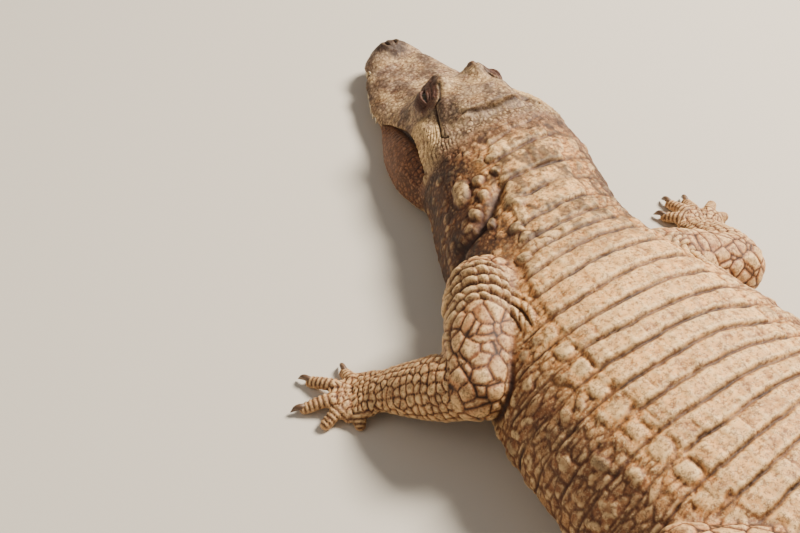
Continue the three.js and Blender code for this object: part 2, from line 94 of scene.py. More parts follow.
# Limbs: joints as [x, y, z] in the trunk's frame, then [share of the length, half width, half height].
FORELIMB_ROWS = dict(
    upper=[[0, 52, 52], [0.5, 49, 50], [1, 46, 44]],
    lower=[[0, 40, 40], [0.3, 44, 41], [0.75, 38, 31], [1, 32, 22]],
    palm=[[0, 30, 20], [0.5, 37, 16], [1, 38, 12]],
)
HINDLIMB_ROWS = dict(
    upper=[[0, 64, 66], [0.5, 62, 62], [1, 45, 44]],
    lower=[[0, 41, 39], [0.4, 41, 38], [1, 28, 24]],
    palm=[[0, 27, 22], [0.5, 33, 17], [1, 42, 10]],
)
FORELIMBS = dict(
    left=dict(
        root=[-107, 237, 112], bend=[-188, 136, 97], end=[-252, 233, 29], knuckles=[-288, 256, 9],
        toes=[[-268, 296], [-312, 305], [-340, 272], [-331, 238], [-296, 216]],
    ),
    right=dict(
        root=[90, 220, 80], bend=[264, 170, 44], end=[296, 248, 24], knuckles=[318, 278, 10],
        toes=[[286, 318], [311, 336], [334, 326], [364, 304], [362, 276]],
    ),
)
# The hind legs are folded alike on both sides: lateral, forward and height from the hip station.
HIP_STATION = 1115
HINDLIMB = dict(
    root=[76, 0, 88], bend=[188, 122, 140], end=[248, 24, 28], knuckles=[294, 90, 10],
    toes=[[266, 190], [316, 196], [360, 170], [382, 120]],
)
FOLD = Group(front=4, hind=8, lower_share=-0.4)
TOE = Group(arch=5, tip_height=7, palm_share=0.7, base_share=0.12)
TOE_ROWS = [[0, 13, 11], [1, 8.5, 8]]

# ---------- small helpers ----------


def fade(value, low, high):
    """Rises smoothly from 0 at low to 1 at high."""
    t = np.clip((value - low) / (high - low), 0, 1)
    return t * t * (3 - 2 * t)


def fall(value, low, high):
    """Falls smoothly from 1 at low to 0 at high."""
    return 1 - fade(value, low, high)


def groove(distance, width):
    """A bell: 1 along a line, and almost 0 at twice the width from it."""
    return np.exp(-(distance / width) ** 2)


def unit(vector):
    return vector / np.linalg.norm(vector)


def circle(count):
    """Angles spaced evenly round a circle."""
    return np.linspace(0, 2 * math.pi, count, endpoint=False)


def signed_power(value, power):
    return np.sign(value) * np.abs(value) ** power


def station_table(rows):
    """Smooth interpolation that never overshoots the rows. The result takes an array of stations."""
    rows = np.array(rows, float)
    places, values = rows[:, 0], rows[:, 1:]
    slopes = np.diff(values, axis=0) / np.diff(places)[:, None]
    product = slopes[:-1] * slopes[1:]
    total = np.where(slopes[:-1] + slopes[1:] == 0, 1, slopes[:-1] + slopes[1:])
    inner = np.where(product <= 0, 0, 2 * product / total)
    tangents = np.vstack([slopes[:1], inner, slopes[-1:]])

    def at(s):
        s = np.asarray(s, float)
        i = np.clip(np.searchsorted(places, s, side="left") - 1, 0, len(places) - 2)
        span = places[i + 1] - places[i]
        t = np.clip((s - places[i]) / span, 0, 1)[..., None]
        span = span[..., None]
        rest = (1 + 2 * t) * (1 - t) ** 2 * values[i] + t * (1 - t) ** 2 * span * tangents[i]
        found = rest + t * t * (3 - 2 * t) * values[i + 1] + t * t * (t - 1) * span * tangents[i + 1]
        return np.moveaxis(found, -1, 0)

    return at


# ---------- the spine ----------

SPINE_STEP = 5
heading_at = station_table(SPINE_HEADINGS)
body_at = station_table(BODY)
upper_head_at = station_table(UPPER_HEAD)
lower_jaw_at = station_table(LOWER_JAW)
TRUNK_AT = np.array(frame["record"]["mounts"][0]["pos_m"][:2]) / MM


def build_spine():
    stations = np.arange(0, TOTAL_LENGTH + 2 * SPINE_STEP, SPINE_STEP)
    heading = np.radians(heading_at(stations[:-1] + SPINE_STEP / 2)[0])
    steps = np.stack([np.sin(heading), -np.cos(heading)], 1) * SPINE_STEP
    points = np.vstack([[0, 0], np.cumsum(steps, 0)])
    return stations, points - points[TRUNK_MIDDLE // SPINE_STEP] + TRUNK_AT


SPINE_S, SPINE = build_spine()


def spine_frame(s):
    """Centre, sideways and backward directions at stations s."""
    centre = np.stack([np.interp(s, SPINE_S, SPINE[:, 0]), np.interp(s, SPINE_S, SPINE[:, 1])], -1)
    heading = np.radians(heading_at(s)[0])
    side = np.stack([np.cos(heading), np.sin(heading)], -1)
    back = np.stack([np.sin(heading), -np.cos(heading)], -1)
    return centre, side, back


def head_roll(s, z):
    share = fall(s, HEAD_ROLL.fade_start, HEAD_ROLL.fade_end)
    return HEAD_ROLL.slope * share * fade(z, 0, HEAD_ROLL.full_height)


def body_points(s, x, z):
    """Points at stations s, offset to the animal's right by x, at height z."""
    s, x, z = np.broadcast_arrays(np.asarray(s, float), x, z)
    centre, side, _ = spine_frame(s)
    flat = centre + side * x[..., None]
    return np.concatenate([flat, (z + x * head_roll(s, z))[..., None]], -1)


# ---------- lofts ----------


def loft_faces(rings, count):
    """Quads between rings of equal count, and the end rings as single faces."""
    i, j = np.meshgrid(np.arange(rings - 1), np.arange(count), indexing="ij")
    a, b = i * count + j, i * count + (j + 1) % count
    quads = np.stack([a, b, b + count, a + count], -1).reshape(-1, 4).tolist()
    return [*quads, list(range(count))[::-1], list(range((rings - 1) * count, rings * count))]


def loft(rings):
    rings = np.asarray(rings)
    return rings.reshape(-1, 3), loft_faces(rings.shape[0], rings.shape[1])


def body_section(s):
    """Half width, top, bottom, middle height and exponent at stations s."""
    half, top, exponent = body_at(s)
    bottom = -BELLY_SINK.depth * np.clip(top / BELLY_SINK.full_top, BELLY_SINK.least, 1)
    return half, top, bottom, bottom + (top - bottom) * WIDEST_HEIGHT, exponent


def body_rims(stations, across, upwards):
    """Offsets and heights of the body's rim at the places of a unit circle (across, upwards)."""
    half, top, bottom, middle, exponent = (v[:, None] for v in body_section(stations))
    rise = signed_power(upwards, 2 / exponent)
    z = middle + rise * np.where(rise > 0, top - middle, middle - bottom)
    return half * signed_power(across, 2 / exponent), z


def body_rings(stations, count=96):
    angle = circle(count)[None, :]
    x, z = body_rims(stations, np.cos(angle), np.sin(angle))
    return body_points(stations[:, None], x, np.maximum(z, 0))


# [station, side offset, height, length, width] of each swelling on top of the head
HEAD_BUMPS = [
    [27, 0, 11, 17, 24],  # nostrils
    [70, 0, -3, 22, 22],  # dip behind the nostrils
    [175, 32, 4, 55, 12],  # ridge in front of the eye
    [219, 32, 36, 31, 18],  # brow
    [222, 0, 26, 36, 26],  # between the brows
    [236, 54, 20, 34, 15],  # lids
    [292, 92, 9, 42, 26],  # jaw muscle
]
SKULL_TABLE = Group(start=256, end=322, half=50, high=20, ramp=20, side=14)
BUMP_POWER = 2.6  # above 2, a bump's profile along the head is squarer than a bell
RELIEF_FADE = 0.35


def head_relief(s, x):
    """Height added to the top of the head."""
    added = 0
    for station, offset, high, long, wide in HEAD_BUMPS:
        along = np.abs((s - station) / long) ** BUMP_POWER
        across = ((np.abs(x) - offset) / wide) ** 2
        added = added + high * np.exp(-along - across)
    t = SKULL_TABLE
    along = fade(s, t.start - t.ramp, t.start + t.ramp)
    along = along * fall(s, t.end - t.ramp / 2, t.end + t.ramp / 2)
    across = fall(np.abs(x), t.half - t.side, t.half + t.side)
    return added + t.high * along * across


def upper_head_rings(stations, over_top=96, palate=12):
    half, top, lip, exponent = (v[:, None] for v in upper_head_at(stations))
    s = stations[:, None]
    angle = np.linspace(0, math.pi, over_top)[None, :]
    x = half * signed_power(np.cos(angle), 2 / exponent)
    rise = np.sin(angle) ** (2 / exponent)
    arch = body_points(s, x, lip + (top - lip) * rise + head_relief(s, x) * fade(rise, 0, RELIEF_FADE))
    under = np.linspace(-1, 1, palate + 2)[None, 1:-1] * half
    return np.concatenate([arch, body_points(s, under, lip - 4 * np.ones_like(under))], 1)


def lower_jaw_rings(stations, count=72):
    half, middle = (v[:, None] for v in lower_jaw_at(stations))
    lip = upper_head_at(stations)[2][:, None]
    angle = circle(count)[None, :]
    power = 2 / JAW_SECTION.exponent
    x = half * signed_power(np.cos(angle), power)
    rise = signed_power(np.sin(angle), power)
    reach = np.where(rise > 0, (lip - middle) * JAW_SECTION.upper_stretch, middle + JAW_SECTION.belly_sink)
    return body_points(stations[:, None], x, np.clip(middle + rise * reach, 0, lip + 2))


# ---------- limbs ----------

AXIS_STEP = 0.01  # share of a limb's length over which its direction is taken
CAP_TURN = 0.98  # the round end stops just short of a point


def smooth_path(points):
    """A centripetal Catmull-Rom curve through the points, as a function of the share of its length."""
    points = np.array(points, float)
    ends = np.vstack([2 * points[0] - points[1], points, 2 * points[-1] - points[-2]])

    def at(share):
        place = np.clip(share, 0, 1) * (len(points) - 1)
        i = min(int(place), len(points) - 2)
        p = ends[i:i + 4]
        knots = np.concatenate([[0], np.cumsum(np.linalg.norm(np.diff(p, axis=0), axis=1) ** 0.5)])
        t = knots[1] + (place - i) * (knots[2] - knots[1])
        mix = [((knots[k + 1] - t) * p[k] + (t - knots[k]) * p[k + 1]) / (knots[k + 1] - knots[k])
               for k in range(3)]
        pair = [((knots[k + 2] - t) * mix[k] + (t - knots[k]) * mix[k + 1]) / (knots[k + 2] - knots[k])
                for k in range(2)]
        return ((knots[2] - t) * pair[0] + (t - knots[1]) * pair[1]) / (knots[2] - knots[1])

    return at


def limb_rings(path, rows, sides=40, steps=24, caps=8):
    """Rings of a tapered limb with round ends, flattened where it lies on the ground."""
    curve, size_at = smooth_path(path), station_table(rows)
    turn = np.linspace(0, math.pi / 2, caps + 1)[1:] * CAP_TURN
    places = [(0, math.cos(a), -math.sin(a)) for a in turn[::-1]]
    places += [(share, 1, 0) for share in np.linspace(0, 1, steps + 1)]
    places += [(1, math.cos(a), math.sin(a)) for a in turn]
    angle = circle(sides)[:, None]
    rings = []
    for share, scale, push in places:
        axis = unit(curve(min(share + AXIS_STEP, 1)) - curve(max(share - AXIS_STEP, 0)))
        across = unit(np.cross(axis, [0, 0, 1]))
        along = np.cross(axis, across)
        half_width, half_height = size_at(share)
        centre = curve(share) + axis * push * min(half_width, half_height)
        ring = centre + across * half_width * scale * np.cos(angle)
        ring = ring + along * half_height * scale * np.sin(angle)
        ring[:, 2] = np.maximum(ring[:, 2], 0)
        rings.append(ring)
    return rings


def midway(a, b, share, lift=0):
    return np.asarray(a) * (1 - share) + np.asarray(b) * share + np.array([0, 0, lift])


def in_world(point):
    return np.array([point[0] + TRUNK_AT[0], point[1] + TRUNK_AT[1], point[2] if len(point) > 2 else 0.0])


def hip_place(sign, place):
    lateral, forward, z = (*place, 0)[:3]
    _, _, back = spine_frame(HIP_STATION)
    point = body_points(HIP_STATION, sign * lateral, z)
    return np.array([point[0] - back[0] * forward, point[1] - back[1] * forward, point[2]])


def leg_places():
    """Every leg's joints and toe tips in the world, with its rows and its fold."""
    legs = {}
    for side, sign in (("left", -1), ("right", 1)):
        front = FORELIMBS[side]
        joints = {k: in_world(front[k]) for k in ("root", "bend", "end", "knuckles")}
        toes = [in_world(toe) for toe in front["toes"]]
        legs[f"hand_{side}"] = dict(joints, toes=toes, rows=FORELIMB_ROWS, fold=FOLD.front)
        joints = {k: hip_place(sign, HINDLIMB[k]) for k in ("root", "bend", "end", "knuckles")}
        toes = [hip_place(sign, toe) for toe in HINDLIMB["toes"]]
        legs[f"foot_{side}"] = dict(joints, toes=toes, rows=HINDLIMB_ROWS, fold=FOLD.hind)
    return legs


LEGS = leg_places()


def leg_paths(leg):
    """The centre lines of a leg's three lengths."""
    root, bend, end, knuckles = (leg[k] for k in ("root", "bend", "end", "knuckles"))
    return dict(
        upper=[root, midway(root, bend, 0.5, leg["fold"]), bend],
        lower=[bend, midway(bend, end, 0.5, leg["fold"] * FOLD.lower_share), end],
        palm=[end, midway(end, knuckles, 0.5), knuckles],
    )


def toe_path(leg, toe):
    tip = np.array([toe[0], toe[1], TOE.tip_height])
    base = midway(midway(leg["end"], leg["knuckles"], TOE.palm_share), tip, TOE.base_share)
    return [base, midway(base, tip, 0.5, TOE.arch), tip]


def leg_meshes(leg):
    meshes = [loft(limb_rings(path, leg["rows"][name])) for name, path in leg_paths(leg).items()]
    for toe in leg["toes"]:
        meshes.append(loft(limb_rings(toe_path(leg, toe), TOE_ROWS, sides=24, steps=16, caps=5)))
    return meshes


# ---------- flesh ----------

VOXEL = 2.2  # spacing of the skin's mesh; the head's is half of it
SOFTENED = Group(width=14, passes=6, share=0.6)  # smoothing where legs leave the body, and all over
COAT_DEPTH = 2.0  # the skin's base lies this far inside the solids, and the scales rise from it
HEAD_COAT = 0.5  # the head's base lies at this share of that depth
HEAD_CUT = 351.9  # the head's lofts run a little into the neck
HEAD_MARGIN = 20  # and its finer mesh somewhat further
BODY_STEP, HEAD_STEP = 6.0, 3.0  # between the rings of the lofts


def linked(name, data):
    """A new object in the scene."""
    made = bpy.data.objects.new(name, data)
    bpy.context.scene.collection.objects.link(made)
    return made


def mesh_object(name, points, faces):
    mesh = bpy.data.meshes.new(name)
    mesh.from_pydata((np.asarray(points) * MM).tolist(), [], faces)
    mesh.validate()
    return linked(name, mesh)


def joined(parts):
    points, faces, offset = [], [], 0
    for part_points, part_faces in parts:
        points.append(part_points)
        faces += [[corner + offset for corner in face] for face in part_faces]
        offset += len(part_points)
    return np.vstack(points), faces


def flesh():
    """All lengths of the animal as closed forms that run into each other."""
    parts = [
        loft(body_rings(np.arange(BODY[0][0], TOTAL_LENGTH, BODY_STEP))),
        loft(upper_head_rings(np.append(np.arange(0.5, NECK_START, HEAD_STEP), HEAD_CUT))),
        loft(lower_jaw_rings(np.append(np.arange(5.5, NECK_START, HEAD_STEP), HEAD_CUT))),
    ]
    for leg in LEGS.values():
        parts += leg_meshes(leg)
    return joined(parts)


def read(items, name, width, kind=np.float32):
    """One property of all the items of a mesh, as a row of numbers for each."""
    values = np.empty(len(items) * width, kind)
    items.foreach_get(name, values)
    return values.reshape(-1, width) if width > 1 else values


def read_points(mesh):
    return read(mesh.vertices, "co", 3).astype(float) / MM


def read_edges(mesh):
    return read(mesh.edges, "vertices", 2, np.int32)


def read_corners(mesh):
    """The vertex of every face corner, and the number of each face's first corner."""
    return read(mesh.loops, "vertex_index", 1, np.int32), read(mesh.polygons, "loop_start", 1, np.int32)


def write_points(mesh, points):
    mesh.vertices.foreach_set("co", (points * MM).astype(np.float32).ravel())
    mesh.update()


def spread(values, edges, count):
    """Each vertex takes the mean of its neighbours, the given number of times."""
    degree = np.bincount(edges.ravel(), minlength=len(values)).astype(float)
    degree[degree == 0] = 1
    flat = values.reshape(len(values), -1)
    for _ in range(count):
        total = np.stack([
            np.bincount(edges[:, 0], flat[edges[:, 1], k], len(flat))
            + np.bincount(edges[:, 1], flat[edges[:, 0], k], len(flat))
            for k in range(flat.shape[1])
        ], 1)
        flat = total / degree[:, None]
    return flat.reshape(values.shape)


def select_only(made):
    for other in bpy.context.selected_objects:
        other.select_set(False)
    made.select_set(True)
    bpy.context.view_layer.objects.active = made


def remeshed(made, voxel):
    modifier = made.modifiers.new("remesh", "REMESH")
    modifier.mode = "VOXEL"
    modifier.voxel_size = voxel * MM
    select_only(made)
    bpy.ops.object.modifier_apply(modifier=modifier.name)


def refine(made, chosen):
    """Splits the faces whose corners are all chosen into four."""
    mesh = made.data
    mesh.vertices.foreach_set("select", chosen)
    mesh.edges.foreach_set("select", chosen[read_edges(mesh)].all(1))
    loops, starts = read_corners(mesh)
    mesh.polygons.foreach_set("select", np.logical_and.reduceat(chosen[loops], starts))
    select_only(made)
    bpy.ops.object.mode_set(mode="EDIT")
    bpy.ops.mesh.select_mode(type="FACE")
    bpy.ops.mesh.subdivide(number_cuts=1, quadcorner="INNERVERT")
    bpy.ops.object.mode_set(mode="OBJECT")


# ---------- noise and cells ----------


def lattice_bits(cell, seed):
    """A random 48-bit number for each lattice cell."""
    cell = cell.astype(np.int64)
    mixed = cell[:, 0] * 73856093 ^ cell[:, 1] * 19349663 ^ cell[:, 2] * 83492791 ^ (seed * 40503 + 977)
    mixed = (mixed ^ (mixed >> 13)) * 1274126177 & 0xFFFFFFFFFFFF
    mixed = (mixed ^ (mixed >> 23)) * 668265263 & 0xFFFFFFFFFFFF
    return mixed ^ (mixed >> 19)


def lattice_random(cell, seed):
    return (lattice_bits(cell, seed) & 0xFFFFF) / 0x100000


def random_of(key, seed):
    """A random share for each combination of three whole numbers."""
    return lattice_random(np.stack(np.broadcast_arrays(*key), 1), seed)


def noise(points, size, seed=0):
    """Smooth noise from -1 to 1 with lumps of the given size."""
    place = points / size
    base = np.floor(place)
    share = place - base
    share = share * share * (3 - 2 * share)
    total = np.zeros(len(points))
    for corner in np.ndindex(2, 2, 2):
        weight = np.prod(np.where(np.array(corner) == 1, share, 1 - share), 1)
        total += weight * lattice_random(base + corner, seed)
    return total * 2 - 1


def cells(points, size, seed=0, jitter=0.85, flat=False):
    """Distances to the seam and to the centre of the nearest cell, in the points' unit, and its tone."""
    place = points / size
    base = np.floor(place)
    nearest = np.full(len(points), np.inf)
    second = np.full(len(points), np.inf)
    tone = np.zeros(len(points))
    layers = (0,) if flat else (-1, 0, 1)
    for step in [(i, j, k) for i in (-1, 0, 1) for j in (-1, 0, 1) for k in layers]:
        cell = base + step
        bits = lattice_bits(cell, seed)
        offset = np.stack([(bits >> shift & 0x3FF) / 1024 - 0.5 for shift in (0, 10, 20)], 1)
        centre = cell + 0.5 + jitter * offset
        gap = centre - place
        if flat:
            gap[:, 2] = 0
        far = np.linalg.norm(gap, axis=1)
        closer = far < nearest
        second = np.where(closer, nearest, np.minimum(second, far))
        tone = np.where(closer, (bits >> 30 & 0x3FF) / 1024, tone)
        nearest = np.where(closer, far, nearest)
    scale = float(np.min(size))
    return (second - nearest) * scale / 2, nearest * scale, tone


# ---------- places on the body ----------

ARC_STEP = 10.0
ARC_S = np.arange(NECK_START - ARC_STEP, TOTAL_LENGTH + ARC_STEP, ARC_STEP)
ARC_TURNS = 91
PLACE_ROUNDS, PLACE_SHARE = 14, 0.8  # a point's station is moved by this share of its error, this often


def arc_table():
    """Way over the skin from the midline of the back, for each station and turn of the section."""
    turn = np.linspace(0, math.pi, ARC_TURNS)[None, :]
    x, z = body_rims(ARC_S, np.sin(turn), np.cos(turn))
    way = np.cumsum(np.hypot(np.diff(x, axis=1), np.diff(z, axis=1)), 1)
    return np.concatenate([np.zeros((len(ARC_S), 1)), way], 1)


ARCS = arc_table()


def body_places(points):
    """Station, side offset, height, way over the skin and distance outside the body's flesh."""
    order = np.argsort(SPINE[:, 1])
    s = np.interp(points[:, 1], SPINE[order, 1], SPINE_S[order])
    for _ in range(PLACE_ROUNDS):
        centre, side, back = spine_frame(s)
        s = np.clip(s + PLACE_SHARE * ((points[:, :2] - centre) * back).sum(1), 0, TOTAL_LENGTH)
    centre, side, _ = spine_frame(s)
    x = ((points[:, :2] - centre) * side).sum(1)
    z = points[:, 2] - x * head_roll(s, points[:, 2])
    half, top, bottom, middle, exponent = body_section(np.maximum(s, ARC_S[0]))
    rise = z - middle
    reach = np.where(rise > 0, top - middle, middle - bottom)
    wide, high = np.abs(x / half), np.abs(rise / reach)
    level = (wide ** exponent + high ** exponent) ** (1 / exponent)
    outside = (level - 1) * np.hypot(x, rise) / np.maximum(level, 1e-6)
    turn = np.arctan2(wide ** (exponent / 2), np.sign(rise) * high ** (exponent / 2))
    i = np.clip((s - ARC_S[0]) / ARC_STEP, 0, len(ARC_S) - 1.001)
    j = np.clip(turn / math.pi * (ARC_TURNS - 1), 0, ARC_TURNS - 1.001)
    i0, j0 = i.astype(int), j.astype(int)
    fi, fj = i - i0, j - j0
    near = ARCS[i0, j0] * (1 - fj) + ARCS[i0, j0 + 1] * fj
    far = ARCS[i0 + 1, j0] * (1 - fj) + ARCS[i0 + 1, j0 + 1] * fj
    w = np.sign(x) * (near * (1 - fi) + far * fi)
    return Group(s=s, x=x, z=z, w=w, outside=outside, half=half)


UPPER, LOWER, PALM, DIGIT = 1, 2, 3, 4
LIMB_REACH = 150  # how far from a length's centre line its places are worked out
TOE_LEAD = 4  # a toe has to be nearer than the palm by this much


def leg_lengths(leg):
    """Kind, path and rows of every length of a leg, from the root to the toes."""
    lengths = [(kind, leg_paths(leg)[key], leg["rows"][key])
               for kind, key in ((UPPER, "upper"), (LOWER, "lower"), (PALM, "palm"))]
    return lengths + [(DIGIT, toe_path(leg, toe), TOE_ROWS) for toe in leg["toes"]]


def length_places(points, path, rows, start):
    """Places on one length of a leg of the points near it, and the length's own length."""
    curve = smooth_path(path)
    shares = np.linspace(0, 1, 25)
    centres = np.array([curve(share) for share in shares])
    radii = station_table(rows)(shares).mean(0)
    way = np.concatenate([[0], np.cumsum(np.linalg.norm(np.diff(centres, axis=0), axis=1))])
    low, high = centres.min(0) - LIMB_REACH, centres.max(0) + LIMB_REACH
    index = np.nonzero(((points > low) & (points < high)).all(1))[0]
    offset = points[index][:, None, :] - centres[None]
    gaps = np.linalg.norm(offset, axis=2) - radii
    best = gaps.argmin(1)
    out = offset[np.arange(len(index)), best]
    axes = np.gradient(centres, way, axis=0)[best]
    across = np.cross(axes, [0, 0, 1])
    angle = np.arctan2((out * across).sum(1), (out * np.cross(across, axes)).sum(1))
    places = Group(
        index=index, gap=gaps[np.arange(len(index)), best], along=start + way[best] + (out * axes).sum(1),
        round=angle * radii[best], up=out[:, 2] / radii[best],
    )
    return places, way[-1]


def limb_places(points):
    """Distance outside the nearest limb's flesh, way along and round it, and which length it is."""
    count = len(points)
    found = Group(gap=np.full(count, 1e3), along=np.zeros(count), round=np.zeros(count),
                  up=np.zeros(count), kind=np.zeros(count, int), patch=np.zeros(count, int))
    for leg_index, leg in enumerate(LEGS.values()):
        run = 0.0
        for step, (kind, path, rows) in enumerate(leg_lengths(leg)):
            is_toe = kind == DIGIT
            near, total = length_places(points, path, rows, 0 if is_toe else run)
            closer = near.gap < found.gap[near.index] - (TOE_LEAD if is_toe else 0)
            chosen = near.index[closer]
            for key in ("gap", "along", "round", "up"):
                getattr(found, key)[chosen] = getattr(near, key)[closer]
            found.kind[chosen] = kind
            found.patch[chosen] = 10 * leg_index + max(step - 2, 0)
            if not is_toe:
                run += total
    return found


# ---------- scales ----------

# Stations between which one kind of skin turns into the next.
HEAD_TO_NECK = [342, 362]
NECK_TO_PLATES = [372, 400]
BODY_TO_TAIL = [1200, 1235]
LOOSE_NECK = Group(end=[560, 640], left=[60, 80], right=[105, 125])  # its sides, as ways over the skin
MOUTH_END = [318, 338]
THROAT_START = [255, 340]
SKULL_END = [318, 336]
CHEEK = Group(start=[235, 275], aside=[56, 72])
# And where the broad colours change.
HEAD_COLOUR_END = [315, 425]
TAIL_COLOUR_START = [1180, 1500]
BACK_COLOUR_EDGE = [15, 75]  # beyond the edge of the shields
BELLY_FACING = [-0.75, -0.25]  # upward part of the skin's normal


def blank(count):
    """Relief in mm, and masks from 0 to 1 for the colours of the skin and each scale's tone."""
    made = {key: np.zeros(count) for key in ("high", "crease", "pale", "dark", "warm", "lid")}
    return Group(**made, tone=np.full(count, 0.5))


def blended(a, b, share):
    return Group(**{key: old * (1 - share) + getattr(b, key) * share for key, old in vars(a).items()})


def raise_plate(skin, ds, dw, long, wide, high, keel, ring, pale, tone=0.6, power=2.6, strength=1.0):
    """Lifts one plate out of the skin, with a crease round it and a keel along its middle."""
    away = (np.abs(ds / long) ** power + np.abs(dw / wide) ** power) ** (1 / power)
    lift = fall(away, 0.55, 1.05) * strength
    rib = keel * np.clip(1 - np.abs(dw) / (0.7 * wide), 0, 1)
    rib = rib * fall(away, 0.5, 1) * fade(ds / long, -0.9, 0.7)
    moat = groove((away - 1.08) * min(long, wide), 1.8) * strength * ring
    skin.high += lift * (high - 0.8 * skin.high) + strength * rib - 1.2 * moat
    skin.crease = np.maximum(skin.crease * (1 - lift), 0.8 * moat)
    skin.pale = np.maximum(skin.pale * (1 - lift), lift * pale)
    skin.tone = np.where(away < 1.0, tone, skin.tone)


# The creases are coloured near black: partly the hide's dark seams, partly painted shadow in the grooves.
def deepen(skin, amount):
    skin.crease = np.maximum(skin.crease, amount)


# Transverse grooves of the back at the midline; the rows between them are the bands of shields.
FRONT_LINES = [412, 460, 500, 543, 577, 600, 628, 662, 702, 736, 769, 800]
BACK_PITCH = 31
TAIL_PITCH = 38
CREST = Group(start=1215, merge=1840, end=2425, spread=44, thick=5, root=8, lean=0.6, half=0.47)
LINES = np.array([
    350 - BACK_PITCH, 378, *FRONT_LINES, *np.arange(831, 1175, BACK_PITCH),
    *np.arange(CREST.start - TAIL_PITCH / 2, TOTAL_LENGTH + TAIL_PITCH, TAIL_PITCH),
], float)
# How far the grooves run forwards (negative) towards the right, and lag behind far out on the right.
row_tilt_at = station_table([[350, -0.34], [543, -0.4], [600, -0.25], [662, -0.19], [702, -0.12],
                             [769, -0.03], [830, 0], [2450, 0]])
row_lag_at = station_table([[543, 0], [736, 0.05], [800, 0.08], [861, 0.16], [910, 0.14], [1020, 0],
                            [2450, 0]])
TILT_REACH = 150  # the tilt stops growing this far out
LAG_FROM = 40  # and the lag starts here
# Half width of the shielded back, as a way over the skin from the midline.
shield_edge_at = station_table([[350, 40], [540, 55], [600, 78], [660, 98], [740, 110], [1100, 110],
                                [1160, 86], [1235, 58], [1400, 44], [1700, 26], [1840, 14], [2450, 6]])
COLUMNS = (0.0, 0.37, 0.74, 1.0)  # edges of the shields as shares of that half width
KEELS = np.array([0.2, 0.56, 0.87, 1.2])  # their keels, as the same shares


def row_places(place):
    """Which transverse row a point is in, how far through it, and the row's length."""
    s, w = place.s, place.w
    q = s - row_tilt_at(s)[0] * np.clip(w, -TILT_REACH, TILT_REACH)
    q = q - row_lag_at(s)[0] * np.maximum(w - LAG_FROM, 0)
    uneven = 2.6 * noise(np.stack([w, q, 0 * s], 1), 48, 3) * (1 - 0.7 * fade(s, 1200, 1300))
    row = np.interp(q + uneven, LINES, np.arange(len(LINES)))
    index = np.clip(row.astype(int), 0, len(LINES) - 2)
    pitch = LINES[index + 1] - LINES[index]
    return Group(row=index, through=row - index, pitch=pitch)


def repeats(value, pitch):
    """Rows of equal length along a value."""
    row = value / pitch
    return Group(row=np.floor(row), through=row - np.floor(row), pitch=pitch)


def to_line(rows):
    """Distance to the nearer end of a row."""
    return np.minimum(rows.through, 1 - rows.through) * rows.pitch


def back_skin(place, rows, points):
    """Broad bands of flat shields with deep narrow grooves between the rows."""
    skin = blank(len(points))
    w, edge = np.abs(place.w), shield_edge_at(place.s)[0]
    uneven = 1.1 * noise(points, 13, 7)
    front = rows.through * rows.pitch + uneven
    rear = (1 - rows.through) * rows.pitch - uneven
    line = groove(np.minimum(front, rear), 2.5) * (0.85 + 0.4 * noise(points, 24, 9))
    column = np.searchsorted(COLUMNS[1:], w / edge)
    tone = random_of((rows.row, column * np.sign(place.w) * 2 + 7, 0), 11)
    skin.high = (2.0 + 1.0 * tone) * (1 - np.exp(-(front / 5) ** 2)) * (1 - np.exp(-(rear / 3) ** 2))
    skin.high += 1.6 * rows.through - 3.0 * line + 0.9 * noise(points, 7, 13) + 1.0 * noise(points, 16, 15)
    skin.crease = line
    skin.tone = tone
    shift = 7 * (random_of((rows.row, 0, 0), 5) - 0.5)
    for limit in COLUMNS:
        seam = groove(w + shift * (limit > 0) + 1.6 * uneven - limit * edge, 1.5)
        seam = seam * fade(noise(points, 22, 17), -0.7, 0.3)
        skin.high -= 0.6 * seam
        deepen(skin, 0.24 * seam)
    keel = np.clip(1 - np.abs(w + shift - KEELS[column] * edge) / 7, 0, 1)
    skin.high += 1.1 * keel * fade(rows.through, 0.1, 0.7)
    skin.pale = 0.3 + 0.3 * keel + 0.25 * tone
    return skin


FLANK_SPACING = 23.0  # of the low scales down the flank


